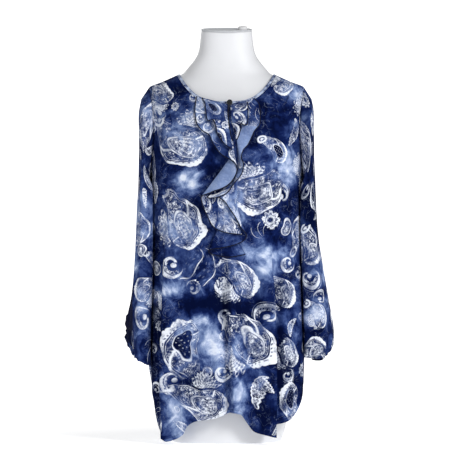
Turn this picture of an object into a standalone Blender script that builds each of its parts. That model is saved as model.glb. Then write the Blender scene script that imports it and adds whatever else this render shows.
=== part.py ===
"""Tunic top with a cascade of flounces down the front, worn by a limbless dress form.

Metres, +Z up, front towards -Y, +X to the right as seen from the front. The origin is the
centre of the form's flat base. Left and right are the viewer's.
"""
import math
from collections import namedtuple

import bmesh
import bpy
from mathutils import Vector

# ---------------------------------------------------------------- driving dimensions
BODY_WALL = 0.0015         # cloth of the panels and sleeves
FLOUNCE_WALL = 0.0010      # cloth of the flounces
SEAM_GAP = 0.0003          # between pieces that are sewn together
CHEST_HEIGHT = 0.540       # below this height every panel is plain rings

NECK_HALF_WIDTH = 0.1034   # finished neckline: neck point to centre
NECK_POINT_HEIGHT = 0.807
FRONT_NECK_HEIGHT = 0.744
BACK_NECK_HEIGHT = 0.794
BINDING_HEIGHT = 0.0060    # the panels stop this far outside the finished neckline
BINDING_WALL = 0.0018
BINDING_GAP = 0.0005       # binding to the panels' edges
SHOULDER_HALF_WIDTH = 0.1705
SHOULDER_HEIGHT = 0.777
ARMHOLE_HEIGHT = 0.202     # shoulder tip down to the underarm
ARMHOLE_HALF_DEPTH = 0.050

SLIT_ANGLE = 1.6           # degrees from the middle of the front to the slit
SLIT_END_HEIGHT = 0.625
SLIT_HALF_WIDTH = 0.0005
NECK_ANGLE = 40.0          # panel columns up to here end on the neckline
SHOULDER_ANGLE = 54.0      # and up to here on the shoulder seam, the rest on the armhole

# Horizontal sections of the garment's body, and of the form inside it
Section = namedtuple("Section", "height half_width front_depth back_depth")
BODY_SECTIONS = [
    Section(0.000, 0.1680, 0.1360, 0.1400),
    Section(0.170, 0.1710, 0.1370, 0.1420),
    Section(0.400, 0.1680, 0.1250, 0.1220),
    Section(0.540, 0.1672, 0.1260, 0.1180),
    Section(0.620, 0.1680, 0.1220, 0.1200),
    Section(0.700, 0.1700, 0.1080, 0.1160),
    Section(0.745, 0.1725, 0.0900, 0.1060),
    Section(0.777, 0.1705, 0.0730, 0.0900),
    Section(0.790, 0.1414, 0.0670, 0.0800),
    Section(0.807, 0.1034, 0.0600, 0.0640),
]
FORM_SECTIONS = [
    Section(0.000, 0.1180, 0.0940, 0.0940),
    Section(0.006, 0.1225, 0.0975, 0.0990),
    Section(0.060, 0.1360, 0.0990, 0.1120),
    Section(0.160, 0.1480, 0.1010, 0.1180),
    Section(0.280, 0.1330, 0.0910, 0.1000),
    Section(0.400, 0.1130, 0.0820, 0.0850),
    Section(0.480, 0.1230, 0.0930, 0.0900),
    Section(0.560, 0.1400, 0.1120, 0.0980),
    Section(0.640, 0.1470, 0.1090, 0.1040),
    Section(0.700, 0.1520, 0.0980, 0.1040),
    Section(0.745, 0.1570, 0.0820, 0.0970),
    Section(0.762, 0.1580, 0.0730, 0.0890),
    Section(0.772, 0.1540, 0.0680, 0.0830),
    Section(0.780, 0.1470, 0.0640, 0.0780),
    Section(0.788, 0.1388, 0.0605, 0.0725),
    Section(0.798, 0.1176, 0.0565, 0.0640),
    Section(0.807, 0.0976, 0.0540, 0.0580),
    Section(0.814, 0.0912, 0.0525, 0.0560),
    Section(0.825, 0.0822, 0.0505, 0.0530),
    Section(0.840, 0.0690, 0.0490, 0.0505),
    Section(0.855, 0.0620, 0.0480, 0.0490),
    Section(0.872, 0.0590, 0.0475, 0.0480),
    Section(0.886, 0.0580, 0.0472, 0.0476),
    Section(0.904, 0.0560, 0.0456, 0.0460),
]
SQUARENESS = 2.4           # superellipse exponent of every horizontal section

# The hem's height round the body, by angle from the front middle, right side positive
HemPoint = namedtuple("HemPoint", "angle height")
HEM = [
    HemPoint(-180, 0.066), HemPoint(-162, 0.060), HemPoint(-146, 0.050), HemPoint(-132, 0.054),
    HemPoint(-121, 0.076), HemPoint(-108, 0.120), HemPoint(-90, 0.168), HemPoint(-80, 0.132),
    HemPoint(-71, 0.080), HemPoint(-65, 0.034), HemPoint(-60, 0.012), HemPoint(-52, 0.006),
    HemPoint(-42, 0.014),
    HemPoint(-36, 0.030), HemPoint(-31, 0.046), HemPoint(-24, 0.052), HemPoint(-8, 0.059),
    HemPoint(4, 0.070), HemPoint(12, 0.066), HemPoint(18, 0.047), HemPoint(25, 0.028),
    HemPoint(34, 0.018), HemPoint(42, 0.015), HemPoint(46, 0.040), HemPoint(56, 0.050),
    HemPoint(64, 0.062), HemPoint(73, 0.096), HemPoint(82, 0.142), HemPoint(90, 0.168),
    HemPoint(108, 0.120), HemPoint(121, 0.076), HemPoint(132, 0.054), HemPoint(146, 0.050),
    HemPoint(162, 0.060), HemPoint(180, 0.066),
]

# Hanging folds of the body: where each stands at the hem, how far it wanders up to its top,
# its half width, how far it stands out, and which way its steep side faces (0 is a round fold)
Fold = namedtuple("Fold", "angle wander half_width depth steep_side top fade")
BODY_FOLDS = [
    Fold(-60.0, 0.0, 17.0, 0.0120, -1, 0.520, 0.20),
    Fold(-33.0, 3.0, 12.0, -0.0045, 0, 0.440, 0.22),
    Fold(7.0, -5.0, 13.0, 0.0085, -1, 0.430, 0.16),
    Fold(25.0, 4.0, 9.0, -0.0040, 0, 0.400, 0.20),
    Fold(42.0, 0.0, 15.0, 0.0150, 1, 0.480, 0.20),
    Fold(68.0, 0.0, 9.0, 0.0050, 0, 0.520, 0.25),
    Fold(-79.0, 0.0, 8.0, -0.0040, 0, 0.520, 0.25),
    Fold(112.0, 0.0, 13.0, 0.0080, 0, 0.560, 0.25),
    Fold(134.0, 2.0, 11.0, -0.0070, 0, 0.600, 0.25),
    Fold(155.0, 4.0, 12.0, 0.0090, 0, 0.600, 0.28),
    Fold(176.0, 0.0, 9.0, -0.0060, 0, 0.560, 0.25),
    Fold(-163.0, -4.0, 11.0, 0.0080, 0, 0.600, 0.28),
    Fold(-141.0, -2.0, 11.0, -0.0070, 0, 0.600, 0.25),
    Fold(-117.0, 0.0, 13.0, 0.0085, 0, 0.560, 0.25),
]

# Sleeve rings below the armhole. Out is measured from the body's middle plane, and a ring runs
# between its outer and its inner point; slant takes its back end outwards, dent hollows its
# outer side, droop lowers its front end, and gather is the depth of its gathers.
Ring = namedtuple("Ring", "outer outer_z inner inner_z half_depth middle_y slant dent droop gather")
SLEEVE_LEFT = [
    Ring(0.1880, 0.752, 0.1700, 0.563, 0.0750, 0.000, 0.000, 0.000, 0.000, 0.0000),
    Ring(0.1925, 0.722, 0.1722, 0.549, 0.0790, 0.002, 0.000, 0.000, 0.000, 0.0000),
    Ring(0.1932, 0.680, 0.1722, 0.536, 0.0820, 0.004, 0.000, 0.001, 0.000, 0.0000),
    Ring(0.1938, 0.630, 0.1722, 0.520, 0.0840, 0.006, 0.000, 0.002, 0.000, 0.0000),
    Ring(0.1958, 0.575, 0.1724, 0.502, 0.0850, 0.008, 0.001, 0.003, 0.000, 0.0000),
    Ring(0.1990, 0.515, 0.1726, 0.470, 0.0855, 0.010, 0.002, 0.004, 0.000, 0.0004),
    Ring(0.2035, 0.450, 0.1730, 0.425, 0.0860, 0.012, 0.003, 0.006, 0.000, 0.0006),
    Ring(0.2100, 0.375, 0.1745, 0.362, 0.0880, 0.014, 0.005, 0.009, 0.000, 0.0008),
    Ring(0.2165, 0.310, 0.1765, 0.297, 0.0900, 0.016, 0.007, 0.012, 0.004, 0.0012),
    Ring(0.2205, 0.268, 0.1775, 0.240, 0.0910, 0.016, 0.008, 0.012, 0.012, 0.0018),
    Ring(0.2240, 0.249, 0.1775, 0.203, 0.0890, 0.016, 0.008, 0.010, 0.024, 0.0024),
    Ring(0.2250, 0.242, 0.1840, 0.200, 0.0750, 0.019, 0.006, 0.004, 0.020, 0.0022),
    Ring(0.2215, 0.2355, 0.1985, 0.2145, 0.0560, 0.025, 0.003, 0.000, 0.010, 0.0004),
]
SLEEVE_RIGHT = [
    Ring(0.1865, 0.752, 0.1700, 0.563, 0.0750, 0.000, 0.000, 0.000, 0.000, 0.0000),
    Ring(0.1915, 0.722, 0.1722, 0.549, 0.0790, 0.002, 0.000, 0.000, 0.000, 0.0000),
    Ring(0.1920, 0.680, 0.1722, 0.536, 0.0820, 0.004, 0.000, 0.000, 0.000, 0.0000),
    Ring(0.1925, 0.630, 0.1722, 0.520, 0.0840, 0.006, 0.000, 0.001, 0.000, 0.0000),
    Ring(0.1942, 0.575, 0.1722, 0.502, 0.0850, 0.008, 0.000, 0.002, 0.000, 0.0000),
    Ring(0.1975, 0.515, 0.1724, 0.470, 0.0855, 0.010, 0.000, 0.002, 0.000, 0.0004),
    Ring(0.2035, 0.450, 0.1726, 0.425, 0.0860, 0.012, 0.000, 0.003, 0.000, 0.0006),
    Ring(0.2135, 0.375, 0.1730, 0.365, 0.0880, 0.014, 0.000, 0.003, 0.000, 0.0008),
    Ring(0.2255, 0.305, 0.1735, 0.300, 0.0900, 0.016, 0.000, 0.003, 0.000, 0.0012),
    Ring(0.2340, 0.255, 0.1740, 0.250, 0.0910, 0.016, 0.000, 0.002, 0.000, 0.0018),
    Ring(0.2362, 0.228, 0.1740, 0.223, 0.0890, 0.016, 0.000, 0.001, 0.001, 0.0026),
    Ring(0.2310, 0.208, 0.1765, 0.205, 0.0760, 0.014, 0.000, 0.000, 0.001, 0.0030),
    Ring(0.2130, 0.199, 0.1860, 0.198, 0.0560, 0.012, 0.000, 0.000, 0.000, 0.0004),
]
CUFF_LEFT = [
    Ring(0.2220, 0.2346, 0.1992, 0.2136, 0.0555, 0.025, 0.003, 0.000, 0.010, 0.0004),
    Ring(0.2245, 0.2285, 0.1995, 0.2070, 0.0570, 0.026, 0.003, 0.000, 0.010, 0.0014),
    Ring(0.2235, 0.2225, 0.2020, 0.2020, 0.0550, 0.027, 0.003, 0.000, 0.010, 0.0010),
]
CUFF_RIGHT = [
    Ring(0.2126, 0.1983, 0.1864, 0.1973, 0.0555, 0.012, 0.000, 0.000, 0.000, 0.0004),
    Ring(0.2140, 0.1890, 0.1860, 0.1880, 0.0575, 0.012, 0.000, 0.000, 0.000, 0.0014),
    Ring(0.2110, 0.1785, 0.1885, 0.1785, 0.0545, 0.012, 0.000, 0.000, 0.000, 0.0010),
]
ARMHOLE_STEPS = 8          # straight edges of half an armhole seam
SLEEVE_AROUND = 4 * ARMHOLE_STEPS
SLEEVE_GATHERS = 8         # waves round the wrist end of a sleeve
CUFF_RUCHES = 13           # waves round an elastic casing

FLOUNCES_X = 0.0030        # the flounces' own middle, right of the body's

# Each row is one line of a flounce from its sewn root to its free edge; x and z are seen from the
# front, lift is how far a point stands out from the front panel, belly how far the middle does.
Line = namedtuple("Line", "root_x root_z root_lift edge_x edge_z edge_lift belly")
FLOUNCE_LEFT_LONG = [
    Line(0.0010, 0.7366, 0.0000, -0.0680, 0.7545, 0.0022, 0.0012),
    Line(0.0005, 0.7270, 0.0000, -0.0715, 0.7240, 0.0040, 0.0040),
    Line(0.0010, 0.7140, 0.0000, -0.0680, 0.6960, 0.0070, 0.0050),
    Line(0.0020, 0.7010, 0.0000, -0.0575, 0.6810, 0.0100, 0.0050),
    Line(0.0040, 0.6880, 0.0000, -0.0400, 0.6690, 0.0080, 0.0060),
    Line(0.0060, 0.6760, 0.0008, -0.0330, 0.6530, 0.0080, 0.0060),
    Line(0.0085, 0.6640, 0.0012, -0.0160, 0.6290, 0.0120, 0.0080),
    Line(0.0110, 0.6530, 0.0020, 0.0040, 0.6165, 0.0200, 0.0120),
    Line(0.0115, 0.6430, 0.0036, 0.0175, 0.6040, 0.0290, 0.0170),
    Line(0.0100, 0.6340, 0.0054, 0.0185, 0.5900, 0.0330, 0.0210),
    Line(0.0070, 0.6255, 0.0072, 0.0095, 0.5700, 0.0360, 0.0240),
    Line(0.0025, 0.6170, 0.0086, -0.0120, 0.5540, 0.0365, 0.0250),
    Line(-0.0030, 0.6090, 0.0094, -0.0375, 0.5450, 0.0345, 0.0240),
    Line(-0.0085, 0.6010, 0.0090, -0.0560, 0.5360, 0.0260, 0.0190),
    Line(-0.0110, 0.5920, 0.0076, -0.0550, 0.5200, 0.0160, 0.0125),
    Line(-0.0110, 0.5820, 0.0060, -0.0450, 0.4960, 0.0130, 0.0105),
    Line(-0.0090, 0.5710, 0.0050, -0.0310, 0.4710, 0.0130, 0.0100),
    Line(-0.0060, 0.5600, 0.0045, -0.0060, 0.4590, 0.0135, 0.0100),
    Line(-0.0030, 0.5490, 0.0040, 0.0300, 0.4540, 0.0140, 0.0105),
]
FLOUNCE_RIGHT_LONG = [
    Line(0.0050, 0.7366, 0.0000, 0.0570, 0.7500, 0.0022, 0.0012),
    Line(0.0052, 0.7260, 0.0000, 0.0675, 0.7350, 0.0040, 0.0040),
    Line(0.0060, 0.7120, 0.0000, 0.0700, 0.7050, 0.0060, 0.0050),
    Line(0.0080, 0.6980, 0.0000, 0.0670, 0.6900, 0.0090, 0.0070),
    Line(0.0110, 0.6820, 0.0000, 0.0570, 0.6780, 0.0120, 0.0080),
    Line(0.0145, 0.6680, 0.0008, 0.0440, 0.6500, 0.0110, 0.0080),
    Line(0.0180, 0.6540, 0.0010, 0.0330, 0.6370, 0.0090, 0.0070),
    Line(0.0210, 0.6380, 0.0010, 0.0290, 0.6210, 0.0120, 0.0080),
    Line(0.0220, 0.6240, 0.0010, 0.0335, 0.6030, 0.0180, 0.0100),
    Line(0.0220, 0.6120, 0.0010, 0.0300, 0.5870, 0.0220, 0.0130),
    Line(0.0218, 0.6000, 0.0010, 0.0150, 0.5660, 0.0245, 0.0160),
    Line(0.0214, 0.5890, 0.0010, -0.0030, 0.5440, 0.0260, 0.0170),
    Line(0.0210, 0.5780, 0.0010, -0.0270, 0.5330, 0.0260, 0.0170),
    Line(0.0206, 0.5670, 0.0010, -0.0440, 0.5345, 0.0230, 0.0150),
    Line(0.0203, 0.5560, 0.0010, -0.0320, 0.5400, 0.0185, 0.0120),
    Line(0.0200, 0.5450, 0.0010, -0.0080, 0.5260, 0.0180, 0.0105),
    Line(0.0198, 0.5340, 0.0010, 0.0080, 0.5040, 0.0185, 0.0100),
    Line(0.0195, 0.5230, 0.0010, 0.0245, 0.4760, 0.0190, 0.0100),
    Line(0.0192, 0.5110, 0.0010, 0.0370, 0.4580, 0.0170, 0.0090),
    Line(0.0180, 0.4980, 0.0050, 0.0380, 0.4460, 0.0120, 0.0085),
    Line(0.0110, 0.4880, 0.0050, 0.0240, 0.4360, 0.0105, 0.0082),
    Line(-0.0040, 0.4800, 0.0050, -0.0060, 0.4270, 0.0100, 0.0080),
    Line(-0.0200, 0.4710, 0.0050, -0.0400, 0.4215, 0.0100, 0.0080),
    Line(-0.0190, 0.4590, 0.0010, -0.0340, 0.4120, 0.0042, 0.0028),
    Line(-0.0050, 0.4510, 0.0010, -0.0030, 0.4060, 0.0024, 0.0018),
    Line(0.0090, 0.4450, 0.0010, 0.0200, 0.4080, 0.0020, 0.0016),
    Line(0.0220, 0.4400, 0.0010, 0.0380, 0.4120, 0.0018, 0.0015),
]
FLOUNCE_LEFT_SHORT = [
    Line(0.0005, 0.7358, 0.0026, -0.0560, 0.7510, 0.0046, 0.0040),
    Line(0.0000, 0.7270, 0.0026, -0.0500, 0.7400, 0.0078, 0.0070),
    Line(0.0000, 0.7160, 0.0026, -0.0480, 0.7230, 0.0095, 0.0085),
    Line(0.0010, 0.7060, 0.0026, -0.0440, 0.7020, 0.0130, 0.0095),
    Line(0.0020, 0.6960, 0.0026, -0.0305, 0.7000, 0.0180, 0.0105),
    Line(0.0035, 0.6860, 0.0026, -0.0245, 0.6800, 0.0150, 0.0100),
    Line(0.0050, 0.6760, 0.0028, -0.0215, 0.6680, 0.0135, 0.0100),
    Line(0.0070, 0.6660, 0.0038, -0.0060, 0.6490, 0.0155, 0.0115),
    Line(0.0095, 0.6560, 0.0056, 0.0090, 0.6370, 0.0190, 0.0145),
]
FLOUNCE_RIGHT_SHORT = [
    Line(0.0056, 0.7358, 0.0026, 0.0425, 0.7415, 0.0046, 0.0040),
    Line(0.0056, 0.7270, 0.0026, 0.0430, 0.7200, 0.0085, 0.0075),
    Line(0.0062, 0.7160, 0.0026, 0.0430, 0.7040, 0.0105, 0.0085),
    Line(0.0076, 0.7050, 0.0026, 0.0400, 0.6910, 0.0140, 0.0095),
    Line(0.0096, 0.6950, 0.0026, 0.0285, 0.6930, 0.0175, 0.0100),
    Line(0.0116, 0.6850, 0.0026, 0.0275, 0.6800, 0.0165, 0.0105),
    Line(0.0140, 0.6750, 0.0028, 0.0190, 0.6580, 0.0170, 0.0110),
]

BUTTON_RADIUS = 0.0062
BUTTON_THICKNESS = 0.0034
BUTTON_SHANK_RADIUS = 0.0012
BUTTON_SHANK_LENGTH = 0.0058
LOOP_CORD_RADIUS = 0.0006
LOOP_LIFT = 0.0014         # loop cord's middle in front of the binding
LOOP_REACH = 0.0050        # shank to the loop's sewn ends

NECK_TOP_HEIGHT = 0.9028   # top of the form's neck, on its axis
NECK_TOP_TILT = 0.14       # its rise for each metre towards the back
CAP_RIM_HEIGHT = 0.0036
CAP_FLOOR_HEIGHT = 0.0012
PLUG_X = 0.0355            # middle of the plug in the cap
PLUG_Y = 0.0080
PLUG_RADIUS = 0.0110
PLUG_HEIGHT = 0.0085


# ---------------------------------------------------------------- shared working
def clear_scene():
    for item in list(bpy.data.objects):
        bpy.data.objects.remove(item, do_unlink=True)


def cloth_material(name, colour, roughness, metallic=0.0):
    material = bpy.data.materials.new(name)
    material.use_nodes = True
    shader = material.node_tree.nodes["Principled BSDF"]
    shader.inputs["Base Color"].default_value = (*colour, 1.0)
    shader.inputs["Roughness"].default_value = roughness
    shader.inputs["Metallic"].default_value = metallic
    return material


def smoothstep(value):
    value = min(max(value, 0.0), 1.0)
    return value * value * (3.0 - 2.0 * value)


def read_table(rows, key, column, at):
    """Smooth value of one column of a table, between the rows whose keys are round `at`."""
    keys = [getattr(row, key) for row in rows]
    values = [getattr(row, column) for row in rows]
    at = min(max(at, keys[0]), keys[-1])
    last = len(keys) - 2
    i = next((k for k in range(last + 1) if at <= keys[k + 1]), last)
    span = keys[i + 1] - keys[i]
    slopes = [(values[k + 1] - values[k]) / (keys[k + 1] - keys[k]) for k in range(len(keys) - 1)]

    def tangent(k):
        if k == 0:
            return slopes[0]
        if k == len(keys) - 1:
            return slopes[-1]
        if slopes[k - 1] * slopes[k] <= 0.0:
            return 0.0
        return 2.0 * slopes[k - 1] * slopes[k] / (slopes[k - 1] + slopes[k])

    u = (at - keys[i]) / span
    ease = u * u * (3.0 - 2.0 * u)
    return ((1.0 - ease) * values[i] + ease * values[i + 1]
            + u * (1.0 - u) * span * ((1.0 - u) * tangent(i) - u * tangent(i + 1)))


def read_rows(rows, column, position):
    """Smooth value of one column at a row number, a whole one or one between two rows."""
    values = [getattr(row, column) for row in rows]
    i = min(int(position), len(values) - 2)
    u = position - i
    before = values[i - 1] if i else 2.0 * values[0] - values[1]
    after = values[i + 2] if i + 2 < len(values) else 2.0 * values[-1] - values[-2]
    start, end = values[i], values[i + 1]
    return 0.5 * (2.0 * start + (end - before) * u
                  + (2.0 * before - 5.0 * start + 4.0 * end - after) * u * u
                  + (3.0 * start - before - 3.0 * end + after) * u ** 3)


def section_radius(sections, angle, height):
    """Distance from the body's axis to a section's outline, at an angle from the front middle."""
    half_width = read_table(sections, "height", "half_width", height)
    depth_name = "front_depth" if math.cos(angle) >= 0.0 else "back_depth"
    half_depth = read_table(sections, "height", depth_name, height)
    across = (abs(math.sin(angle)) / half_width) ** SQUARENESS
    along = (abs(math.cos(angle)) / half_depth) ** SQUARENESS
    return (across + along) ** (-1.0 / SQUARENESS)


def fold_depth(angle_degrees, height):
    """How far the folds push the body's cloth out, or in, at one place."""
    total = 0.0
    for fold in BODY_FOLDS:
        grown = smoothstep((fold.top - height) / fold.fade)
        if grown == 0.0:
            continue
        middle = fold.angle + fold.wander * min(height / fold.top, 1.0)
        offset = (angle_degrees - middle + 180.0) % 360.0 - 180.0
        offset = offset / fold.half_width
        if abs(offset) >= 1.0:
            continue
        if fold.steep_side == 0:
            shape = 0.5 + 0.5 * math.cos(math.pi * offset)
        else:
            offset = offset * fold.steep_side
            if offset < 0.0:
                shape = smoothstep(1.0 + offset)
            elif offset < 0.30:
                shape = 1.0 - 1.75 * smoothstep(offset / 0.30)
            else:
                shape = -0.75 * (1.0 - smoothstep((offset - 0.30) / 0.70))
        total += fold.depth * grown * shape
    return total


def body_point(angle_degrees, height):
    """Point of the garment's outer surface at an angle round the body and a height."""
    angle = math.radians(angle_degrees)
    radius = section_radius(BODY_SECTIONS, angle, height) + fold_depth(angle_degrees, height)
    return Vector((radius * math.sin(angle), -radius * math.cos(angle), height))


def body_normal(angle_degrees, height):
    """Outward normal of that surface, from its slopes round the body and up it."""
    turn, climb = 0.5, 0.001
    around = body_point(angle_degrees + turn, height) - body_point(angle_degrees - turn, height)
    upward = body_point(angle_degrees, height + climb) - body_point(angle_degrees, height - climb)
    return around.cross(upward).normalized()


def normal_at(point):
    """Outward normal of the body at a point that lies on its surface."""
    return body_normal(section_angle(point.x, point.y), point.z)


def section_angle(offset_x, offset_y):
    return math.degrees(math.atan2(offset_x, -offset_y))


def depth_at(offset_x, height, depth_name):
    """Half depth of the body's section at a distance to the side of its middle."""
    half_width = read_table(BODY_SECTIONS, "height", "half_width", height)
    half_depth = read_table(BODY_SECTIONS, "height", depth_name, height)
    share = min(abs(offset_x) / half_width, 1.0) ** SQUARENESS
    return half_depth * (1.0 - share) ** (1.0 / SQUARENESS)


def armhole_point(side, turn):
    """Armhole seam: turn is 90 degrees at the shoulder tip, 0 at its front, 180 at its back."""
    turn = math.radians(turn)
    height = SHOULDER_HEIGHT - 0.5 * ARMHOLE_HEIGHT * (1.0 - math.sin(turn))
    offset_y = -ARMHOLE_HALF_DEPTH * math.cos(turn)
    depth_name = "front_depth" if offset_y <= 0.0 else "back_depth"
    half_width = read_table(BODY_SECTIONS, "height", "half_width", height)
    half_depth = read_table(BODY_SECTIONS, "height", depth_name, height)
    share = min(abs(offset_y) / half_depth, 1.0) ** SQUARENESS
    offset_x = half_width * (1.0 - share) ** (1.0 / SQUARENESS)
    return Vector((side * offset_x, offset_y, height))


def armhole_edge(side, turn):
    """Point of the armhole as the panels' straight edges have it."""
    step = 180.0 / ARMHOLE_STEPS
    before = math.floor(turn / step + 1e-6) * step
    along = (turn - before) / step
    return armhole_point(side, before).lerp(armhole_point(side, before + step), along)


def neckline_point(angle_degrees, back, outside=0.0):
    """Finished neckline by panel angle, or a line that far outside it on the body's surface."""
    side = 1.0 if angle_degrees >= 0.0 else -1.0
    across = math.sin(0.5 * math.pi * abs(angle_degrees) / NECK_ANGLE)
    slope = (NECK_POINT_HEIGHT - SHOULDER_HEIGHT) / (SHOULDER_HALF_WIDTH - NECK_HALF_WIDTH)
    step_out = outside / math.hypot(1.0, slope)
    offset_x = (NECK_HALF_WIDTH + step_out) * across
    low = (BACK_NECK_HEIGHT if back else FRONT_NECK_HEIGHT) - outside
    high = NECK_POINT_HEIGHT - step_out * slope
    height = low + (high - low) * across ** (2.2 if back else 3.1)
    depth = depth_at(offset_x, height, "back_depth" if back else "front_depth")
    return Vector((side * offset_x, depth if back else -depth, height))


def panel_top(angle_degrees, back):
    """Where a panel's column ends: on the neckline, the shoulder seam or the armhole."""
    side = 1.0 if angle_degrees >= 0.0 else -1.0
    spread = abs(angle_degrees)
    if spread <= NECK_ANGLE:
        return neckline_point(angle_degrees, back, BINDING_HEIGHT + BINDING_GAP)
    if spread <= SHOULDER_ANGLE:
        along = (spread - NECK_ANGLE) / (SHOULDER_ANGLE - NECK_ANGLE)
        neck_end = neckline_point(side * NECK_ANGLE, back, BINDING_HEIGHT + BINDING_GAP)
        tip = Vector((side * SHOULDER_HALF_WIDTH, 0.0, SHOULDER_HEIGHT))
        return neck_end.lerp(tip, along)
    turn = 90.0 - 180.0 * (spread - SHOULDER_ANGLE) / (90.0 - SHOULDER_ANGLE)
    if back:
        turn = 180.0 - turn
    return armhole_point(side, turn)


def panel_point(angle_degrees, rise, back):
    """Point of a panel: rise is 0 to 1 from the hem to the chest, 1 to 2 up to its top edge."""
    round_angle = (180.0 - angle_degrees) if back else angle_degrees
    if rise <= 1.0:
        wrapped = (round_angle + 180.0) % 360.0 - 180.0
        hem = read_table(HEM, "angle", "height", wrapped)
        return body_point(round_angle, hem + (CHEST_HEIGHT - hem) * rise)
    rise = rise - 1.0
    top = panel_top(angle_degrees, back)
    if rise == 1.0:
        return top
    facing = -1.0 if back else 1.0
    top_angle = section_angle(top.x, facing * top.y)
    spread = abs(angle_degrees)
    over_shoulder = smoothstep((spread - 0.6 * NECK_ANGLE) / (SHOULDER_ANGLE - 0.6 * NECK_ANGLE))
    before_underarm = 1.0 - smoothstep(0.5 + (spread - 0.5 * (SHOULDER_ANGLE + 90.0)) / 14.0)
    climb_power = 1.0 + 0.7 * over_shoulder * before_underarm
    turn_power = 1.4 + 0.8 * over_shoulder * before_underarm
    height = CHEST_HEIGHT + (top.z - CHEST_HEIGHT) * (1.0 - (1.0 - rise) ** climb_power)
    angle = angle_degrees + (top_angle - angle_degrees) * rise ** turn_power
    return body_point((180.0 - angle) if back else angle, height)


def front_surface_y(x, height):
    """Y of the front panel's outer surface, as seen from the front at x and a height."""
    return -depth_at(x, height, "front_depth")


def quad_normals(points, quads):
    normals = [Vector((0.0, 0.0, 0.0)) for _ in points]
    for quad in quads:
        corners = [points[k] for k in quad]
        facing = (corners[2] - corners[0]).cross(corners[3] - corners[1])
        for k in quad:
            normals[k] += facing
    return [normal.normalized() for normal in normals]


def cloth_wall(name, points, quads, thickness, material, normals=None, flat=None, outside=0.0):
    """Closed wall whose skins lie behind the grid of points, or up to `outside` of its thickness
    in front of it. The quads are wound to face out; flat maps a point's number to the axis that
    its offset leaves out, on edges that meet another piece in a plane."""
    normals = normals or quad_normals(points, quads)
    outer, inner = [], []
    for number, (point, normal) in enumerate(zip(points, normals)):
        offset = normal.copy()
        if flat and number in flat:
            offset[flat[number]] = 0.0
            offset.normalize()
        outer.append(point + offset * thickness * outside)
        inner.append(point - offset * thickness * (1.0 - outside))
    shell = bmesh.new()
    outer_verts = [shell.verts.new(point) for point in outer]
    inner_verts = [shell.verts.new(point) for point in inner]
    edge_uses = {}
    for quad in quads:
        shell.faces.new([outer_verts[k] for k in quad])
        shell.faces.new([inner_verts[k] for k in reversed(quad)])
        for a, b in zip(quad, quad[1:] + quad[:1]):
            edge_uses.setdefault(frozenset((a, b)), []).append((a, b))
    for uses in edge_uses.values():
        if len(uses) == 1:
            a, b = uses[0]
            shell.faces.new([outer_verts[b], outer_verts[a], inner_verts[a], inner_verts[b]])
    return finish_mesh(name, shell, material)


def finish_mesh(name, shell, material):
    bmesh.ops.triangulate(shell, faces=shell.faces[:])
    bmesh.ops.recalc_face_normals(shell, faces=shell.faces[:])
    mesh = bpy.data.meshes.new(name)
    shell.to_mesh(mesh)
    shell.free()
    mesh.materials.append(material)
    mesh.shade_smooth()
    mesh.set_sharp_from_angle(angle=math.radians(40.0))
    made = bpy.data.objects.new(name, mesh)
    bpy.context.scene.collection.objects.link(made)
    return made


def grid_quads(rows, columns, closed=False):
    """Quads of a grid of points stored row by row, joined up round the rows when closed."""
    around = columns if closed else columns - 1
    return [
        [r * columns + c, r * columns + (c + 1) % columns,
         (r + 1) * columns + (c + 1) % columns, (r + 1) * columns + c]
        for r in range(rows - 1) for c in range(around)
    ]


# ---------------------------------------------------------------- body panels
def panel_columns(back):
    """Column angles of a panel: those on the armholes match the sleeves' points, the others are
    even, with more on the steep sides of the folds."""
    armhole = [SHOULDER_ANGLE + (90.0 - SHOULDER_ANGLE) * k / ARMHOLE_STEPS
               for k in range(ARMHOLE_STEPS + 1)]
    columns = [side * angle for side in (-1.0, 1.0) for angle in armhole + [NECK_ANGLE]]
    middle = [8.0 * k for k in range(-5, 6)] + [-47.0, 47.0]
    if not back:
        columns.append(SLIT_ANGLE)
        middle = [-47.0, -36.0, -30.0, -23.0, -16.0, -9.0, -3.5, 6.5, 11.0, 17.0, 24.0, 31.0, 36.0,
                  42.0, 43.5, 45.0, 47.0, 50.5]
    return sorted(set(columns + middle))


def panel_rises(lower, upper):
    lower_rises = [k / lower for k in range(lower)]
    upper_rises = [1.0 + (k / upper) ** 0.9 for k in range(upper + 1)]
    return lower_rises + upper_rises


def build_panel(name, back, lower, upper, material):
    """One body panel, from its hem to the neckline, shoulder seams and armholes."""
    columns = panel_columns(back)
    rises = panel_rises(lower, upper)
    gap = Vector((0.0, 0.5 * SEAM_GAP * (1.0 if back else -1.0), 0.0))
    points, normals, flat = [], [], {}
    for rise in rises:
        for angle in columns:
            on_side_seam = abs(angle) == 90.0
            on_shoulder = rise == rises[-1] and NECK_ANGLE <= abs(angle) <= SHOULDER_ANGLE
            if on_side_seam or on_shoulder:
                flat[len(points)] = 1
            point = panel_point(angle, rise, back)
            normals.append(normal_at(point))
            points.append(point + gap)
    quads = grid_quads(len(rises), len(columns))
    if back:
        quads = [quad[::-1] for quad in quads]
    else:
        points, normals, quads = cut_slit(points, normals, quads, columns)
    return cloth_wall(name, points, quads, BODY_WALL, material, normals, flat)


def cut_slit(points, normals, quads, columns):
    """Part the front along its slit column, from the neckline down to the slit's end."""
    slit = columns.index(SLIT_ANGLE)
    across = len(columns)
    parted_numbers = [number for number in range(slit, len(points), across)
                      if points[number].z > SLIT_END_HEIGHT]
    twins = {number: len(points) + k for k, number in enumerate(parted_numbers)}
    half_gap = Vector((SLIT_HALF_WIDTH, 0.0, 0.0))
    points = points + [points[number] + half_gap for number in twins]
    normals = normals + [normals[number] for number in twins]
    for number in twins:
        points[number] = points[number] - half_gap
    parted = []
    for quad in quads:
        is_right = any(number % across > slit for number in quad)
        parted.append([twins.get(number, number) if is_right else number for number in quad])
    return points, normals, parted


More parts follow.
